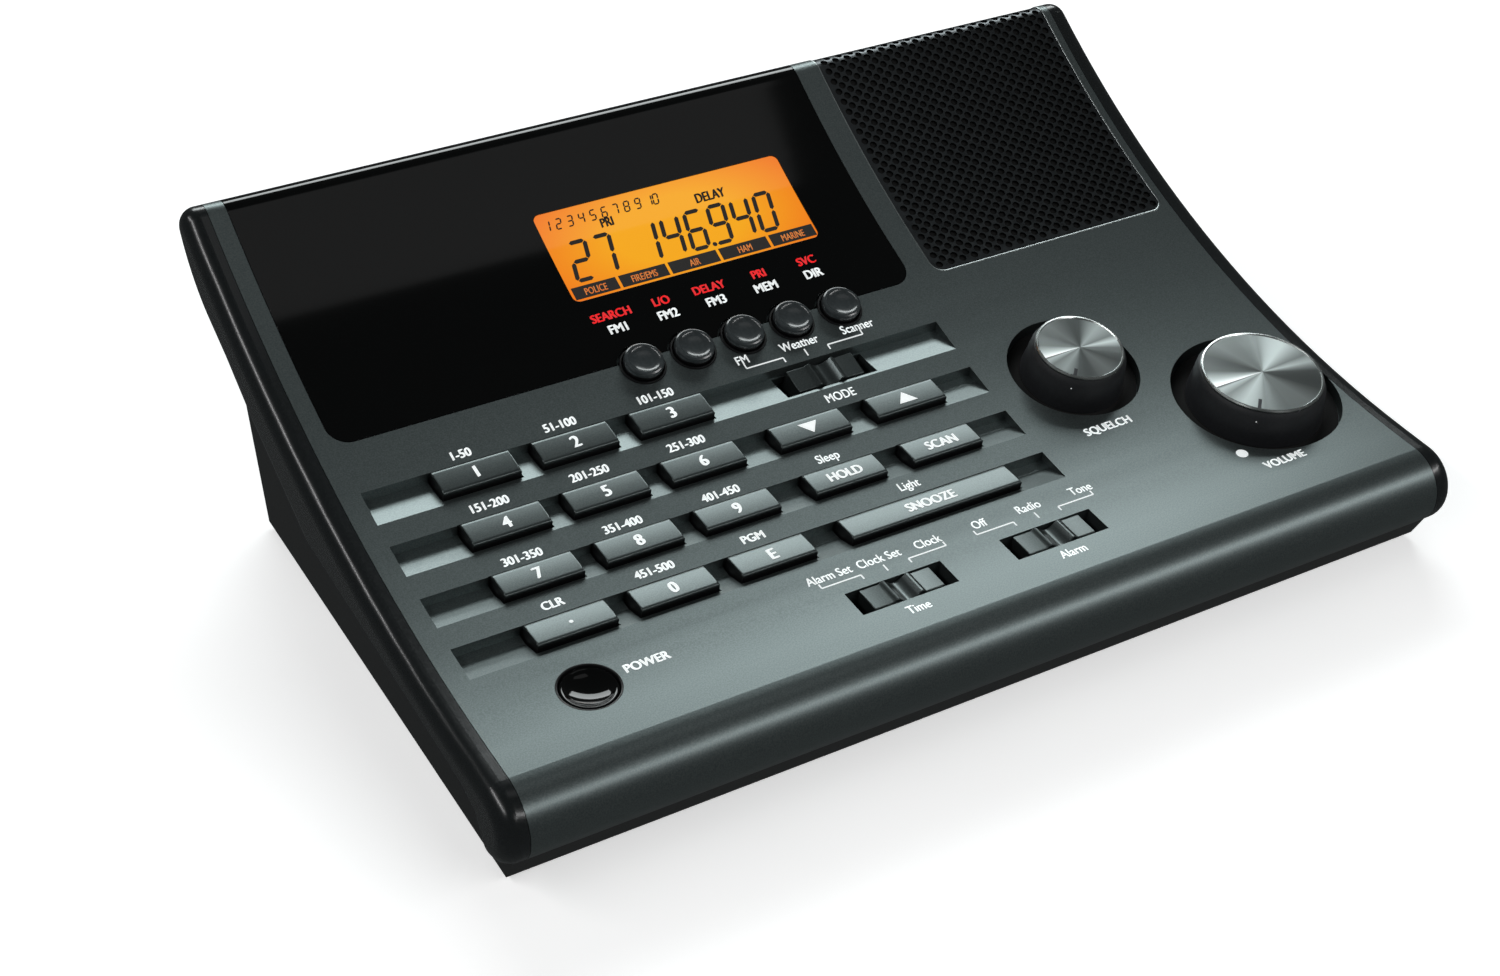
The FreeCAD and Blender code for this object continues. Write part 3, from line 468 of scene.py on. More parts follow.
def cut_mesh(work, point, normal, clear_outer=False):
    """Cut a whole mesh by a plane; clear_outer drops what lies past it."""
    geometry = work.verts[:] + work.edges[:] + work.faces[:]
    bmesh.ops.bisect_plane(work, geom=geometry, plane_co=point, plane_no=normal, dist=CUT_TOLERANCE,
                           clear_outer=clear_outer)


def slice_plan(work, step, low, high):
    """Cut a flat mesh across u so that it can follow the sweep."""
    count = int((high - low) / step)
    for number in range(1, count + 1):
        cut = low + number * (high - low) / (count + 1)
        cut_mesh(work, (0, cut, 0), (0, 1, 0))


def wrap_on_top(name, work, top, thickness, materials):
    """Turn a flat (x, u) mesh into a sheet that lies on the top, its upper face lifted by `top`."""
    result = bmesh.ops.extrude_face_region(work, geom=work.faces[:])
    moved = {v for v in result["geom"] if isinstance(v, bmesh.types.BMVert)}
    for vertex in work.verts:
        lift = top if vertex in moved else top - thickness
        vertex.co = skin(vertex.co.x, vertex.co.y, lift)
    bmesh.ops.recalc_face_normals(work, faces=work.faces)
    mesh = bpy.data.meshes.new(name)
    work.to_mesh(mesh)
    work.free()
    for material in materials:
        mesh.materials.append(MATERIALS[material])
    return tidy_normals(to_scene(name, mesh), 30.0)


def prism(name, profile, ends, corner, materials):
    """Closed body with one profile at both ends; corner(end, a, b) places each corner."""
    vertices = [corner(end, a, b) for end in ends for a, b in profile]
    count = len(profile)
    faces = [tuple(range(count)), tuple(range(count, 2 * count))]
    for number in range(count):
        after = (number + 1) % count
        faces.append((number, after, after + count, number + count))
    return new_object(name, vertices, faces, materials)


def arc_points(centre, radius, start, end, count):
    """Points of an arc, angles in degrees."""
    points = []
    for number in range(count + 1):
        angle = math.radians(start + (end - start) * number / count)
        points.append((centre[0] + radius * math.cos(angle), centre[1] + radius * math.sin(angle)))
    return points


def disc(centre, radius, count):
    """Corners of a regular polygon that stands for a small dot or hole."""
    step = 360 / count
    return arc_points(centre, radius, 0, 360 - step, count - 1)


def rounded_rectangle(left, right, low, high, radius, count=6):
    """Outline with quarter-round corners, anticlockwise."""
    corners = [((right - radius, high - radius), 0), ((left + radius, high - radius), 90),
               ((left + radius, low + radius), 180), ((right - radius, low + radius), 270)]
    points = []
    for centre, start in corners:
        points += arc_points(centre, radius, start, start + 90, count)
    return points


def adopt(piece, body, *nodes, slot=None):
    """Put a finished piece on a body, in place of CAD nodes where it stands for them."""
    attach(piece, body)
    if nodes:
        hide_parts(*nodes)


# ---- lettering and printed lines
def letter_mesh(text, size, squeeze, slant=0.0):
    """Flat mesh of a text, centred on the origin, as (vertices, faces)."""
    curve = bpy.data.curves.new("lettering", "FONT")
    curve.body = text
    curve.size = size
    curve.shear = slant
    curve.resolution_u = 4
    maker = to_scene("lettering", curve)
    bpy.context.view_layer.update()
    drawn = maker.evaluated_get(bpy.context.evaluated_depsgraph_get())
    mesh = bpy.data.meshes.new_from_object(drawn)
    vertices = [Vector((v.co.x * squeeze, v.co.y)) for v in mesh.vertices]
    faces = [tuple(p.vertices) for p in mesh.polygons]
    low = Vector((min(v.x for v in vertices), min(v.y for v in vertices)))
    high = Vector((max(v.x for v in vertices), max(v.y for v in vertices)))
    middle = (low + high) / 2
    bpy.data.objects.remove(maker)
    bpy.data.curves.remove(curve)
    bpy.data.meshes.remove(mesh)
    return [v - middle for v in vertices], faces


class PrintLayer:
    """Flat marks gathered into one mesh, placed by a function of (a, b, lift)."""

    def __init__(self, name, material, lift=0.02 * MM):
        self.name = name
        self.material = material
        self.lift = lift
        self.vertices = []
        self.faces = []

    def add(self, vertices, faces, place):
        start = len(self.vertices)
        self.vertices += [place(v[0], v[1], self.lift) for v in vertices]
        self.faces += [tuple(start + index for index in face) for face in faces]

    def strike(self, text, size, place, weight=0.042, squeeze=0.86, slant=0.0):
        """Lettering made heavier by printing it three times, a hair apart."""
        vertices, faces = letter_mesh(text, size, squeeze, slant)
        for shift in (-1, 0, 1):
            offset = Vector((shift, 0.35 * shift)) * weight * size
            self.add([v + offset for v in vertices], faces, place)

    def text(self, text, x, y, size, **style):
        """Lettering on the top, its middle at (x, y)."""
        middle = along(y)

        def on_top(a, b, lift):
            return skin(x + a, middle + b, lift)

        self.strike(text, size, on_top, **style)

    def line(self, start, end, width=0.22 * MM):
        """Straight printed line between two (x, y) places on the top."""
        first = Vector((start[0], along(start[1])))
        last = Vector((end[0], along(end[1])))
        side = (last - first).normalized().orthogonal() * width / 2
        corners = [first - side, last - side, last + side, first + side]
        self.add(corners, [(0, 1, 2, 3)], skin)

    def polygon(self, corners, place=skin):
        self.add(corners, [tuple(range(len(corners)))], place)

    def finish(self, body, slot=None):
        """Make the piece, with a hair of thickness, and put it on its body."""
        piece = new_object(self.name, self.vertices, self.faces, [self.material])
        thick = piece.modifiers.new("ink_thickness", "SOLIDIFY")
        thick.thickness = 0.015 * MM
        adopt(piece, body, slot=slot)


# ---- case
def dress_case():
    """CAD nodes that keep their shape get a finish and, in mm, softened edges."""
    looks = {
        "top_shell": ("paint", 0.16), "left_cheek": ("cheek", 0.25), "right_cheek": ("cheek", 0.25),
        "base_shell": ("base", 0.20), "battery_door": ("base", 0.15), "antenna_jack": ("nickel", 0.12),
        "phone_jack": ("black", 0.12), "power_jack": ("black", 0.12), "rubber_feet": ("rubber", 0.12),
        "case_screws": ("screw", 0.10), "rf_shield": ("steel", 0.20), "main_board": ("board", 0.0),
        "display_board": ("board", 0.0), "keypad_board": ("board", 0.0), "keypad_mat": ("mat", 0.12),
        "lcd_backlight": ("milky", 0.10), "speaker_basket": ("steel", 0.10),
        "speaker_cone": ("cone", 0.0), "speaker_magnet": ("magnet", 0.15),
        "squelch_pot": ("steel", 0.12), "volume_pot": ("steel", 0.12), "squelch_shaft": ("steel", 0.10),
        "volume_shaft": ("steel", 0.10), "slide_switch_bodies": ("steel", 0.10),
        "battery_contacts": ("nickel", 0.05),
    }
    for node, (material, edge) in looks.items():
        thing = frame["nodes"][node]
        for material_slot in thing.material_slots:
            material_slot.material = MATERIALS[material]
        if edge:
            round_edges(thing, edge * MM, angle=40.0)
            flat_faces(thing)


def lcd_outline(side_margin, end_margin, corner):
    """Outline of the display window, larger by the margins."""
    return rounded_rectangle(LCD[0] - side_margin, LCD[1] + side_margin, along(LCD[2]) - end_margin,
                             along(LCD[3]) + end_margin, corner)


def make_lens():
    """Gloss lens over the display, scalloped round the memory buttons, wrapped over the crest."""
    low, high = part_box("display_lens")
    left, right = low[0], high[0]
    front = along(HOOD_FRONT)
    corner = 3.0 * MM
    scallop = 3.6 * MM
    button_u = along(MEMORY_ROW)
    half_angle = math.degrees(math.asin((front - button_u) / scallop))
    outline = arc_points((left + corner, front + corner), corner, 180, 270, 8)
    for node in MEMORY_BUTTONS:
        outline += arc_points((middle_x(node), button_u), scallop, 180 - half_angle, half_angle, 14)
    outline += arc_points((right - corner, front + corner), corner, 270, 360, 8)
    outline += [(right, SKIN_LENGTH), (left, SKIN_LENGTH)]
    work = plan_mesh(outline, [lcd_outline(0.0, 0.0, LCD_CORNER)])
    slice_plan(work, 1.2 * MM, front, SWEEP_LENGTH)
    slice_plan(work, 0.35 * MM, SWEEP_LENGTH, SKIN_LENGTH)
    lens = wrap_on_top("lens", work, 0.0, 1.15 * MM, ["lens"])
    round_edges(lens, 0.18 * MM, segments=3, angle=50.0)
    adopt(lens, "case", "display_lens", slot="lens_black")


def make_display():
    """Lit panel in the lens window, with its segments and band boxes."""
    low, high = along(LCD[2]), along(LCD[3])
    gap = 0.04 * MM
    work = plan_mesh(lcd_outline(-gap, -gap, LCD_CORNER))
    slice_plan(work, 1.5 * MM, low, high)
    panel = wrap_on_top("lcd_panel", work, -0.10 * MM, 0.9 * MM, ["amber"])
    adopt(panel, "case", "lcd_glass", slot="lcd_amber")

    overlap = 0.8 * MM
    work = plan_mesh(lcd_outline(overlap, 0.6 * MM, 1.2 * MM),
                     [lcd_outline(-overlap, -overlap, LCD_CORNER)])
    slice_plan(work, 1.5 * MM, low, high)
    bezel = wrap_on_top("lcd_bezel", work, -1.25 * MM, 1.2 * MM, ["black"])
    adopt(bezel, "case", "lcd_frame", slot="trim_black")

    make_segments()
    make_band_boxes()


# Bars that make up each seven-segment digit
SEGMENTS = {
    "0": "abcdef", "1": "bc", "2": "abdeg", "3": "abcdg", "4": "bcfg", "5": "acdfg",
    "6": "acdefg", "7": "abc", "8": "abcdefg", "9": "abcdfg",
}


def segment_bar(start, end, width):
    """Six-cornered bar between two points."""
    way = (end - start).normalized()
    side = Vector((-way.y, way.x)) * width / 2
    nose = way * width / 2
    return [start, start + nose + side, end - nose + side, end, end - nose - side, start + nose - side]


def digit_bars(digit, width, height, bar):
    """Bars of one seven-segment digit with its lower left corner at the origin."""
    half = height / 2
    ends = {
        "a": ((0, height), (width, height)), "b": ((width, half), (width, height)),
        "c": ((width, 0), (width, half)), "d": ((0, 0), (width, 0)), "e": ((0, 0), (0, half)),
        "f": ((0, half), (0, height)), "g": ((0, half), (width, half)),
    }
    bars = []
    for name in SEGMENTS[digit]:
        start, end = (Vector(point) for point in ends[name])
        gap = (end - start).normalized() * bar * 0.10
        bars.append(segment_bar(start + gap, end - gap, bar))
    return bars


def make_segments():
    """Channel, frequency and bank digits, the decimal point and two status words."""
    layer = PrintLayer("display_segments", "segment", lift=-0.075 * MM)
    slant = math.tan(math.radians(11.5))
    large = (2.45 * MM, 6.1 * MM, 0.66 * MM)
    small = (0.75 * MM, 1.6 * MM, 0.22 * MM)
    large_row, small_row = along(25.35 * MM), along(33.2 * MM)

    def write(text, x, base, pitch, digit_size):
        for number, digit in enumerate(text):
            for bar in digit_bars(digit, *digit_size):
                layer.polygon([(x + number * pitch + p.x + slant * p.y, base + p.y) for p in bar])

    write("27", -24.5 * MM, large_row, 3.75 * MM, large)
    write("146940", -13.8 * MM, large_row, 3.78 * MM, large)
    for number in range(1, 10):
        write(str(number), (-27.3 + 1.78 * number) * MM, small_row, 0.0, small)
    write("10", -9.5 * MM, small_row, 1.05 * MM, small)
    layer.polygon(disc((-2.85 * MM, along(25.4 * MM)), 0.36 * MM, 12))
    layer.text("PRI", -16.4 * MM, 32.5 * MM, 2.1 * MM, squeeze=0.72, slant=0.15)
    layer.text("DELAY", 0.2 * MM, 32.5 * MM, 2.2 * MM, squeeze=0.72, slant=0.15)
    layer.finish("case", slot="trim_black")


def make_band_boxes():
    """Five dark boxes with service names along the lower edge of the display."""
    edges = [-26.3, -19.0, -11.2, -3.05, 5.15, 12.8]
    names = ["POLICE", "FIRE/EMS", "AIR", "HAM", "MARINE"]
    gap = 0.22
    low, high = along(22.75 * MM), along(24.6 * MM)
    boxes = PrintLayer("display_bands", "band", lift=-0.078 * MM)
    words = PrintLayer("display_band_names", "band_text", lift=-0.06 * MM)
    for number, name in enumerate(names):
        left = (edges[number] + gap) * MM
        right = (edges[number + 1] - gap) * MM
        boxes.polygon([(left, low), (right, low), (right, high), (left, high)])
        middle = (edges[number] + edges[number + 1]) / 2
        words.text(name, middle * MM, 23.62 * MM, 1.6 * MM, weight=0.015, squeeze=0.66, slant=0.1)
    boxes.finish("case", slot="trim_black")
    words.finish("case", slot="lcd_amber")


def make_grille():
    """Perforated sheet with staggered round holes, wrapped over the crest, on black cloth."""
    low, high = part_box("speaker_grille")
    left, right = low[0], high[0]
    front = along(HOOD_FRONT)
    pitch, row, radius = 2.05 * MM, 0.90 * MM, 0.57 * MM
    sides = 12
    margin = 0.55 * MM
    start = 1.35 * MM
    tips = [(pitch / 2, 0.0), (0.0, row), (-pitch / 2, 0.0), (0.0, -row), (pitch / 2, 0.0)]
    work = bmesh.new()
    known = {}

    def vertex(x, u):
        """Corner shared by neighbouring cells of the sheet."""
        key = (round(x * 1e7), round(u * 1e7))
        if key not in known:
            known[key] = work.verts.new((x, u, 0.0))
        return known[key]

    rows = int((SKIN_LENGTH - front) / row) + 3
    columns = int((right - left) / pitch) + 3
    for line in range(-1, rows):
        for column in range(-1, columns):
            x = left + start + pitch * (column + 0.5 * (line % 2))
            u = front + start + row * line
            rim = []
            for number in range(sides):
                quarter, part = divmod(number, sides // 4)
                share = part / (sides // 4)
                (ax, ay), (bx, by) = tips[quarter], tips[quarter + 1]
                rim.append(vertex(x + ax + (bx - ax) * share, u + ay + (by - ay) * share))
            inside = left + radius + margin < x < right - radius - margin and u > front + radius + margin
            if not inside or u > SKIN_LENGTH - radius:
                work.faces.new(rim)
                continue
            ring = [work.verts.new((*corner, 0.0)) for corner in disc((x, u), radius, sides)]
            for number in range(sides):
                after = (number + 1) % sides
                work.faces.new((rim[number], rim[after], ring[after], ring[number]))
    corner = 2.0 * MM
    cuts = [((left, 0), (-1, 0)), ((right, 0), (1, 0)), ((0, front), (0, -1)), ((0, SKIN_LENGTH), (0, 1))]
    for centre_x, side in ((left + corner, -1), (right - corner, 1)):
        for step in range(1, 6):
            angle = math.radians(15 * step)
            way = (side * math.cos(angle), -math.sin(angle))
            cuts.append(((centre_x + corner * way[0], front + corner + corner * way[1]), way))
    for point, way in cuts:
        cut_mesh(work, (*point, 0), (*way, 0), clear_outer=True)
    grille = wrap_on_top("grille", work, -0.12 * MM, 0.35 * MM, ["grille"])
    adopt(grille, "case", "speaker_grille", slot="grille_metal")

    inset = 0.3 * MM
    work = plan_mesh([(left + inset, front + corner), (left + corner, front + inset),
                      (right - corner, front + inset), (right - inset, front + corner),
                      (right - inset, SKIN_LENGTH - inset), (left + inset, SKIN_LENGTH - inset)])
    slice_plan(work, 2.0 * MM, front, SWEEP_LENGTH)
    slice_plan(work, 0.4 * MM, SWEEP_LENGTH, SKIN_LENGTH)
    cloth = wrap_on_top("grille_cloth", work, -0.55 * MM, 0.2 * MM, ["cloth"])
    adopt(cloth, "case", slot="cone_paper")
    make_grille_rim(left, right, front, corner)


def make_grille_rim(left, right, front, corner):
    """Thin bead round the sides and front of the grille, lighter than the case paint it stands for: a
    painted highlight.
    """
    route = [(left, SKIN_LENGTH)]
    count = 60
    for number in range(count + 1):
        route.append((left, SKIN_LENGTH + (front + corner - SKIN_LENGTH) * number / count))
    route += arc_points((left + corner, front + corner), corner, 180, 270, 10)[1:]
    route += arc_points((right - corner, front + corner), corner, 270, 360, 10)
    for number in range(1, count + 1):
        route.append((right, front + corner + (SKIN_LENGTH - front - corner) * number / count))
    width, rise, sink, sides = 0.15 * MM, 0.07 * MM, 0.07 * MM, 8
    vertices, faces = [], []
    for number, point in enumerate(route):
        before = Vector(route[max(0, number - 1)])
        after = Vector(route[min(len(route) - 1, number + 1)])
        way = (after - before).normalized()
        side = Vector((way.y, -way.x))
        for step in range(sides):
            angle = 2 * math.pi * step / sides
            offset = side * width * math.cos(angle)
            lift = rise * math.sin(angle) - sink
            vertices.append(skin(point[0] + offset.x, point[1] + offset.y, lift))
    for number in range(len(route) - 1):
        for step in range(sides):
            start, after = number * sides + step, number * sides + (step + 1) % sides
            faces.append((start, after, after + sides, start + sides))
    faces.append(tuple(range(sides)))
    faces.append(tuple(len(vertices) - sides + step for step in range(sides)))
    bead = new_object("grille_bead_painted_highlight", vertices, faces, ["bead"])
    tidy_normals(bead, 60.0)
    adopt(bead, "case", slot="case_paint")


# ---- keys, buttons, sliders
def key_section(y):
    """Half depth of a key's top, and the heights of its front and back edges, in its own frame."""
    lean = math.tan(tilt_at(y) - KEY_TILT)
    half = 2.1 * MM
    front = 0.9 * MM - half * lean
    back = 0.4 * MM + half * lean
    return half, front, back


def key_height(b, half, front, back):
    """Height of a key's top at depth b: a straight slope with a slight crown."""
    share = (b + half) / (2 * half)
    return front + (back - front) * share + KEY_CROWN * 4 * share * (1 - share)


def make_key(node):
    """Key cap with a painted, slightly crowned top and a black skirt; returns how its top lies."""
    place, y = key_seat(node)
    half, front, back = key_section(y)
    low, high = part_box(node)
    flange, foot, shoulder = 0.7 * MM, -3.5 * MM, 0.62 * MM
    width = (high[0] - low[0]) / 2 - flange
    steps = 8
    profile = [(-half, foot), (-half, front - shoulder)]
    for number in range(steps + 1):
        b = -half + 2 * half * number / steps
        profile.append((b, key_height(b, half, front, back)))
    profile += [(half, back - shoulder), (half, foot)]
    piece = prism(node + "_cap", profile, (-width, width), lambda x, v, w: place @ Vector((x, v, w)),
                  ["key", "black"])
    shape_key(piece, place, half, front, back)
    flat_faces(piece)
    adopt(piece, body_of(node), node, slot="key_grey")
    return place, half, front, back


def shape_key(piece, place, half, front, back):
    """Round the top rim of a key cap, and leave its skirt black."""
    rim_depth, rim_round = 0.1 * MM, 0.24 * MM
    paint_depth, split_depth = 0.35 * MM, 0.36 * MM
    work = bmesh.new()
    work.from_mesh(piece.data)
    bmesh.ops.recalc_face_normals(work, faces=work.faces)
    inverse = place.inverted()

    def level(point):
        local = inverse @ point
        share = (local.y + half) / (2 * half)
        return local.z - (front + (back - front) * share)

    rim = [e for e in work.edges
           if all(level(v.co) > -rim_depth for v in e.verts)
           and len(e.link_faces) == 2 and e.calc_face_angle(0.0) > math.radians(50)]
    bmesh.ops.bevel(work, geom=rim, offset=rim_round, segments=2, profile=0.5, affect="EDGES")
    slope = (back - front) / (2 * half)
    normal = place.to_3x3() @ Vector((0, -slope, 1)).normalized()
    cut_mesh(work, place @ Vector((0, -half, front - split_depth)), normal)
    for face in work.faces:
        face.material_index = 0 if level(face.calc_center_median()) > -paint_depth else 1
    work.to_mesh(piece.data)
    work.free()
    tidy_normals(piece, 40.0)


def mark_key(node, place, half, front, back):
    """White legend or arrow on a key's top."""
    def on_key(a, b, lift):
        return place @ Vector((a, b, key_height(b, half, front, back) + lift))

    layer = PrintLayer(node + "_legend", "white", lift=0.045 * MM)
    if node == "key_up":
        layer.polygon([(-1.45 * MM, -0.95 * MM), (1.45 * MM, -0.95 * MM), (0.0, 1.15 * MM)], on_key)
    elif node == "key_down":
        layer.polygon([(1.45 * MM, 0.95 * MM), (-1.45 * MM, 0.95 * MM), (0.0, -1.15 * MM)], on_key)
    elif node == "key_dot":
        layer.polygon(disc((0.0, 0.0), 0.28 * MM, 12), on_key)
    else:
        size = 2.9 * MM if len(KEYS[node]) == 1 else 2.35 * MM
        layer.strike(KEYS[node], size, on_key, squeeze=0.80)
    layer.finish(body_of(node))


def in_mm(profile):
    return [(a * MM, b * MM) for a, b in profile]


def make_memory_button(node):
    """Round button with a raised rim and a dished top, in a black collar; profiles in mm."""
    place = seat(middle_x(node), MEMORY_ROW)
    profile = [(0, -5.2), (3.8, -5.2), (3.8, -4.4), (2.8, -4.4), (2.8, 0.75), (2.80, 1.15), (2.70, 1.38),
               (2.50, 1.5), (2.25, 1.48), (2.08, 1.32), (1.6, 1.16), (0.9, 1.06), (0, 1.02)]
    flange_rings = 4
    piece = revolved(node + "_cap", place, in_mm(profile), ["button", "black"],
                     lambda ring: 0 if ring >= flange_rings else 1, 48)
    adopt(piece, body_of(node), node, slot="button_grey")
    ring = [(2.92, -1.0), (3.28, -1.0), (3.28, 0.10), (3.20, 0.22), (3.02, 0.22), (2.92, 0.10),
            (2.92, -1.0)]
    collar = revolved(node + "_collar", place, in_mm(ring), ["black"], segments=48)
    adopt(collar, "case", slot="trim_black")


def make_power_button():
    """Gloss button with a deep thumb dish, in a black collar; lengths here are in mm."""
    flange, foot = 4.4, -4.6
    dish_radius, dish_level, dish_depth, dish_steps = 2.95, -0.28, 0.6, 8
    tilt = tilt_at(POWER_ROW)
    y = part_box("power_button")[1][1] - (flange * math.cos(tilt) - foot * math.sin(tilt)) * MM
    place = seat(middle_x("power_button"), y)
    profile = [(0, foot), (flange, foot), (flange, foot + 1.0), (3.7, foot + 1.0), (3.7, -0.42),
               (3.62, -0.18), (3.42, -0.06), (3.15, -0.10), (dish_radius, dish_level)]
    for step in range(1, dish_steps + 1):
        share = 1 - step / dish_steps
        profile.append((dish_radius * share, dish_level - dish_depth * (1 - share ** 2)))
    piece = revolved("power_button_cap", place, in_mm(profile), ["lens"])
    adopt(piece, body_of("power_button"), "power_button", slot="power_gloss")
    ring = [(3.8, -2.0), (4.10, -2.0), (4.10, 0.02), (4.02, 0.08), (3.86, 0.02), (3.8, -0.1), (3.8, -2.0)]
    collar = revolved("power_button_collar", place, in_mm(ring), ["black"])
    adopt(collar, "case", slot="trim_black")


def make_slider(node):
    """Slide switch cap: two flat wings and a scooped finger rest between low ridges."""
    low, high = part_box(node)
    place = seat(middle_x(node), MODE_ROW if node == "mode_slider" else LOWER_SLIDER_ROW)
    half_length, half_depth, foot = (high[0] - low[0]) / 2, 1.95 * MM, -3.4 * MM
    ridge, grip, scoop, steps = 0.34 * MM, 2.0 * MM, 0.85 * MM, 8
    rising = [(grip + 0.5 * MM, 0.0), (grip + 0.12 * MM, ridge * 0.75), (grip - 0.10 * MM, ridge)]
    profile = [(-half_length, foot), (-half_length, 0.0)]
    profile += [(-a, w) for a, w in rising]
    for step in range(steps + 1):
        share = -1 + 2 * step / steps
        profile.append((share * (grip - 0.35 * MM), ridge - scoop * (1 - share ** 2)))
    profile += rising[::-1]
    profile += [(half_length, 0.0), (half_length, foot)]
    piece = prism(node + "_cap", profile, (-half_depth, half_depth),
                  lambda v, a, w: place @ Vector((a, v, w)), ["key"])
    tidy_normals(piece, 40.0)
    round_edges(piece, 0.12 * MM, segments=3, angle=50.0)
    flat_faces(piece)
    adopt(piece, body_of(node), node, slot="key_grey")


# ---- knobs
KNOB_TOP = 4.2


def knob_place(name):
    """Where the knob's axis meets the top, from its hinge."""
    joint = next(j for j in frame["record"]["behaviour"]["joints"] if j["name"] == name + "_turn")
    return joint["pos_m"][0], joint["pos_m"][1]


def make_knob(name, radius, well):
    """Black skirt, bright rim and a turned face with a pointer, over a black disc on the floor of its
    well, that floor's own black and painted shade; in mm.
    """
    place = seat(*knob_place(name))
    foot, bore = -1.5, 2.4
    flare, seat_radius = radius + 1.1, radius - 0.3
    skirt = [(bore, foot), (flare, foot), (flare, -1.2), (radius + 0.55, KNOB_TOP - 1.3),
             (radius + 0.30, KNOB_TOP - 0.75), (radius + 0.12, KNOB_TOP - 0.45),
             (seat_radius, KNOB_TOP - 0.42), (seat_radius, KNOB_TOP - 1.0), (bore, KNOB_TOP - 1.0),
             (bore, foot)]
    piece = revolved(name + "_skirt", place, in_mm(skirt), ["knob"], segments=96)
    adopt(piece, name + "_control", name + "_knob", slot="knob_black")
    make_knob_cap(name, place, radius)

    dot_place = place @ Matrix.Rotation(POINTER_ANGLE, 4, "Z")
    dot_place = dot_place @ Matrix.Translation(((radius + 0.50) * MM, 0, (KNOB_TOP - 1.75) * MM))
    dot_place = dot_place @ Matrix.Rotation(math.radians(78), 4, "Y")
    dot_profile = in_mm([(0, 0.12), (0.12, 0.10), (0.2, 0.02), (0.2, -0.2), (0, -0.2)])
    dot = revolved(name + "_pointer_dot", dot_place, dot_profile, ["white"], segments=16)
    adopt(dot, name + "_control", slot="knob_metal")

    # Black disc on the well floor: partly the floor's own black, partly painted shade in the well.
    inside, outside, under, over = 3.2, well - 0.1, -1.78, -1.62
    well_floor_profile = [(inside, under), (outside, under), (outside, over), (inside, over), (inside, under)]
    dark_well_floor = revolved(name + "_dark_well_floor", place, in_mm(well_floor_profile), ["cloth"], segments=96)
    adopt(dark_well_floor, "case", slot="trim_black")


def make_knob_cap(name, place, radius):
    """Disc with a chamfered bright rim; a dark bar across the edge of its face is the pointer, painted
    shade in place of its notch.
    """
    rings = 10
    face_radius, face = radius - 0.42, KNOB_TOP - 0.10
    profile = [(0.0, KNOB_TOP - 0.9), (radius - 0.32, KNOB_TOP - 0.9), (radius, KNOB_TOP - 0.40),
               (radius + 0.02, KNOB_TOP - 0.18), (radius - 0.10, KNOB_TOP),
               (radius - 0.30, KNOB_TOP + 0.02), (face_radius, face)]
    for step in range(1, rings + 1):
        profile.append((face_radius * (1 - step / rings), face))
    piece = revolved(name + "_cap_face", place, in_mm(profile), ["spun", "rim"],
                     lambda ring: 1 if 1 <= ring <= 5 else 0, segments=96)
    adopt(piece, name + "_control", name + "_cap", slot="knob_metal")

    # Dark bar for the pointer notch: painted shade, in place of a cut slot.
    inner, outer, half = radius * 0.72, radius - 0.45, 0.24
    turned = place @ Matrix.Rotation(POINTER_ANGLE, 4, "Z")
    bar = [(inner, -half), (outer, -half), (outer, half), (inner, half)]
    pointer_shade_bar = prism(name + "_pointer", in_mm(bar), ((face - 0.06) * MM, (face + 0.025) * MM),
                  lambda level, a, b: turned @ Vector((a, b, level)), ["screw"])
    tidy_normals(pointer_shade_bar)
    adopt(pointer_shade_bar, name + "_control", slot="knob_metal")


# ---- printed legends
# Words with the middles of their places, in mm
RANGES = {5.6: ("1-50", "51-100", "101-150"), -2.95: ("151-200", "201-250", "251-300"),
          -12.3: ("301-350", "351-400", "401-450"), -20.8: ("CLR", "451-500", "PGM")}
LIGHT_WORDS = [
    ("Sleep", -6.4, -12.2), ("Light", 1.0, -20.9), ("FM", -8.7, 7.15), ("Weather", 0.4, 7.15),
    ("Scanner", 9.9, 7.15), ("MODE", 1.2, -2.8), ("Alarm Set", -17.8, -31.0),
    ("Clock Set", -10.3, -31.0), ("Clock", -2.8, -31.0), ("Time", -10.8, -41.2), ("Off", 5.3, -31.0),
    ("Radio", 13.1, -31.0), ("Tone", 21.6, -31.0), ("Alarm", 13.1, -41.1),
]
BOLD_WORDS = [("POWER", -45.7, -34.6), ("SQUELCH", 33.0, -22.0), ("VOLUME", 51.0, -38.2)]
MEMORY_WORDS = [("FM1", "SEARCH", -22.6), ("FM2", "L/O", -14.8), ("FM3", "DELAY", -7.2),
                ("MEM", "PRI", 0.8), ("DIR", "SVC", 8.65)]
BRACKETS = [(0.6, 5.65), (-10.4, -32.7), (13.2, -32.7)]
VOLUME_LAMP = (46.5 * MM, -34.6 * MM)


def print_legends():
    """All the lettering, brackets and the lamp dot printed on the top and the lens."""
    white = PrintLayer("white_legends", "white")
    red = PrintLayer("red_legends", "red")
    for level, words in RANGES.items():
        for word, node in zip(words, ("key_1", "key_2", "key_3")):
            white.text(word, middle_x(node) - 0.4 * MM, level * MM, 1.95 * MM)
    for word, x, y in LIGHT_WORDS:
        white.text(word, x * MM, y * MM, 2.1 * MM, weight=0.02, squeeze=0.78)
    for word, x, y in BOLD_WORDS:
        white.text(word, x * MM, y * MM, 2.05 * MM)
    for white_word, red_word, x in MEMORY_WORDS:
        white.text(white_word, x * MM, 17.15 * MM, 2.1 * MM)
        red.text(red_word, x * MM, 19.35 * MM, 1.95 * MM)
    for middle, level in BRACKETS:
        print_bracket(white, middle, level)
    white.polygon(disc((VOLUME_LAMP[0], along(VOLUME_LAMP[1])), 0.85 * MM, 24))
    white.finish("case")
    red.finish("case")


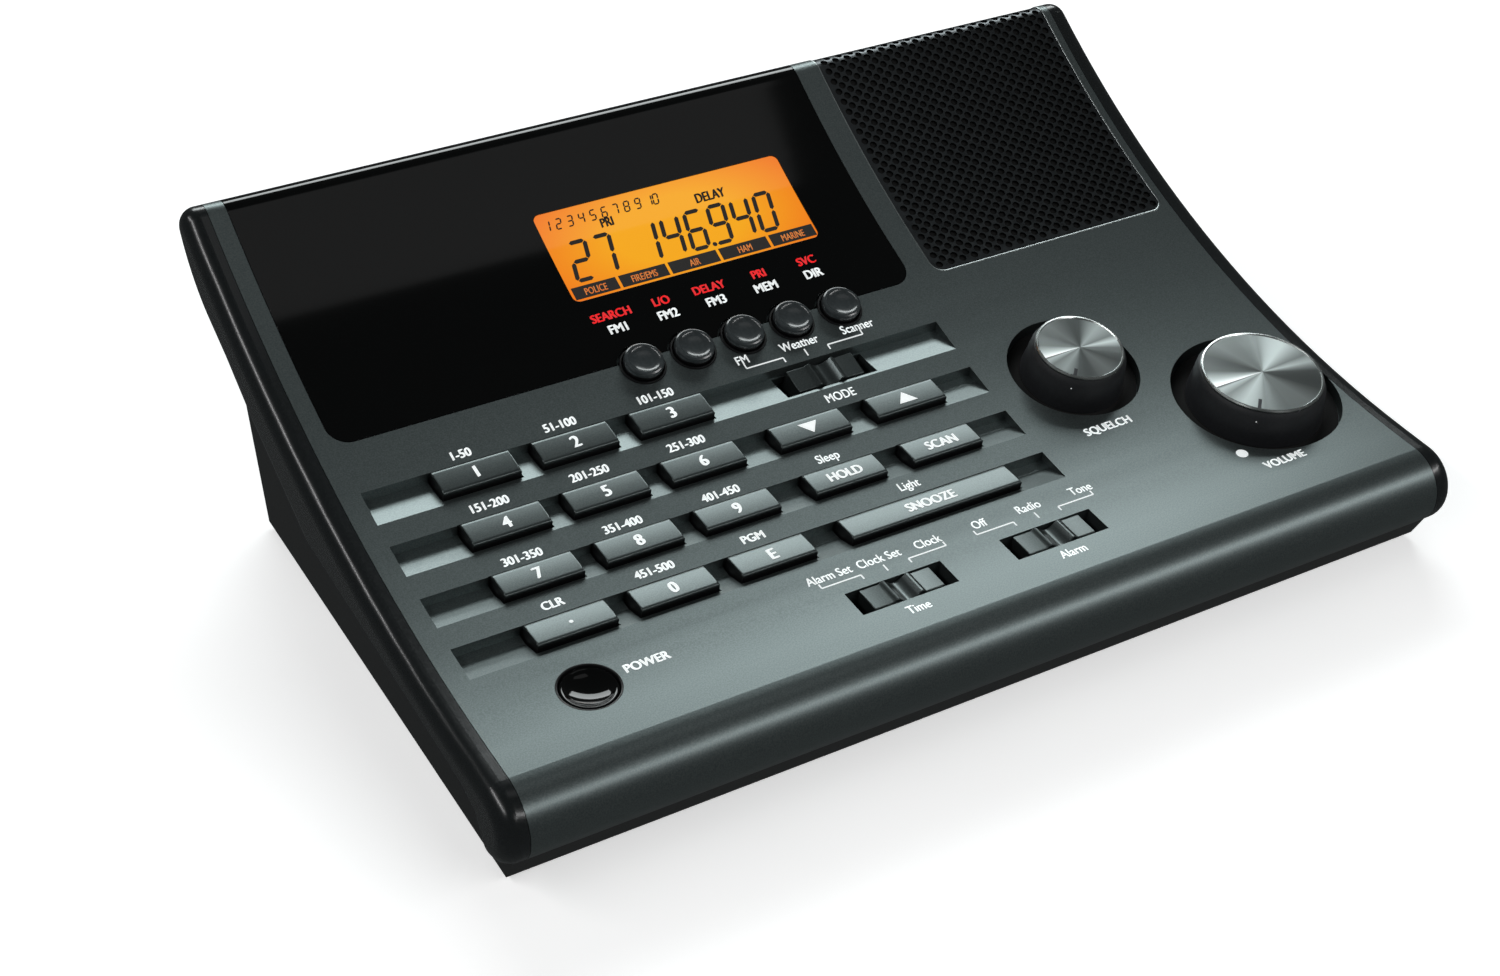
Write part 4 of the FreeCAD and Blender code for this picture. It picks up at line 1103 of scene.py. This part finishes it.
def print_bracket(layer, middle, level):
    """Two hooked lines and a tick that show a slide switch's three positions; places in mm."""
    for side in (-1, 1):
        far = (middle + side * 9.4) * MM
        near = (middle + side * 3.6) * MM
        layer.line((far, level * MM), (near, level * MM))
        layer.line((far, level * MM), (far, (level + 0.8) * MM))
        layer.line((near, level * MM), (near, (level - 0.8) * MM))
    layer.line((middle * MM, (level + 0.4) * MM), (middle * MM, (level - 0.8) * MM))


# ---- stage
def add_floor():
    """Plain pale floor. It isn't seen in the gloss of the set, which would show it as a bright band."""
    work = bmesh.new()
    bmesh.ops.create_grid(work, x_segments=2, y_segments=2, size=3.0)
    mesh = bpy.data.meshes.new("floor")
    work.to_mesh(mesh)
    work.free()
    paper = new_material("pale_floor", (0.90, 0.90, 0.90), 0.75)
    shader = shader_of(paper)
    shader.inputs["Emission Color"].default_value = (1.0, 1.0, 1.0, 1.0)
    shader.inputs["Emission Strength"].default_value = 0.50
    add_noise(paper, 40.0, color_range=((0.89, 0.89, 0.89), (0.91, 0.91, 0.91)))
    mesh.materials.append(paper)
    floor = to_scene("floor", mesh)
    floor.visible_glossy = False


def add_light(name, place, target, width, height, power, color=(1, 1, 1)):
    """Soft rectangular light that faces its target."""
    lamp = bpy.data.lights.new(name, "AREA")
    lamp.shape = "RECTANGLE"
    lamp.size = width
    lamp.size_y = height
    lamp.energy = power
    lamp.color = color
    holder = to_scene(name, lamp)
    holder.location = place
    way = Vector(target) - Vector(place)
    holder.rotation_euler = way.to_track_quat("-Z", "Y").to_euler()


def aim_from(azimuth, elevation, distance):
    """Place on a sphere about the set; azimuth runs from the back (+Y) towards the right (+X)."""
    turn, rise = math.radians(azimuth), math.radians(elevation)
    return (distance * math.sin(turn) * math.cos(rise), distance * math.cos(turn) * math.cos(rise),
            distance * math.sin(rise))


def add_lights():
    """A softbox behind gives the top its sheen; strips draw the highlights along the edges."""
    world = bpy.data.worlds.new("studio")
    world.use_nodes = True
    sky = world.node_tree.nodes["Background"]
    sky.inputs["Color"].default_value = (0.95, 1.0, 1.0, 1.0)
    sky.inputs["Strength"].default_value = 0.075
    bpy.context.scene.world = world
    middle = (0.0, -0.01, 0.02)
    distance = 0.95
    add_light("back_softbox", aim_from(24, 35, distance), middle, 0.80, 0.26, 4.9, (0.94, 1.0, 1.0))
    add_light("left_rail_strip", (-0.62, 0.0, 0.60), middle, 1.0, 0.06, 2.6)
    add_light("front_strip", aim_from(145, 36, distance), middle, 1.0, 0.06, 2.5)
    add_light("lens_panel", (0.23, -0.04, 0.80), (0.23, -0.04, 0.0), 0.38, 0.20, 0.095)
    bpy.context.scene.view_settings.view_transform = "Standard"


def add_camera():
    """Camera to the front left, looking down at the set, turned slightly about its own axis."""
    azimuth, elevation, roll = math.radians(-31.81), math.radians(37.30), math.radians(2.776)
    distance = 341.39 * MM
    target = Vector((0.0, 4.2 * MM, 0.0))
    shift_right, shift_up = 7.051 * MM, 0.914 * MM
    back = Vector((math.sin(azimuth) * math.cos(elevation), -math.cos(azimuth) * math.cos(elevation),
                   math.sin(elevation)))
    side = Vector((math.cos(azimuth), math.sin(azimuth), 0))
    up = back.cross(side)
    right = math.cos(roll) * side + math.sin(roll) * up
    top = math.cos(roll) * up - math.sin(roll) * side
    lens = bpy.data.cameras.new("camera")
    lens.lens = 57.167
    lens.sensor_width = 36.0
    lens.clip_start = 0.01
    camera = to_scene("camera", lens)
    aim = target - shift_right * right - shift_up * top
    turn = Matrix((right, top, back)).transposed().to_4x4()
    camera.matrix_world = Matrix.Translation(aim + back * distance) @ turn
    bpy.context.scene.camera = camera


dress_case()
make_lens()
make_display()
make_grille()
for key_node in KEYS:
    key_shape = make_key(key_node)
    mark_key(key_node, *key_shape)
for button_node in MEMORY_BUTTONS:
    make_memory_button(button_node)
make_power_button()
for slider_node in SLIDERS:
    make_slider(slider_node)
make_knob("squelch", radius=6.34, well=9.6)
make_knob("volume", radius=8.7, well=12.2)
print_legends()
add_floor()
add_lights()
add_camera()
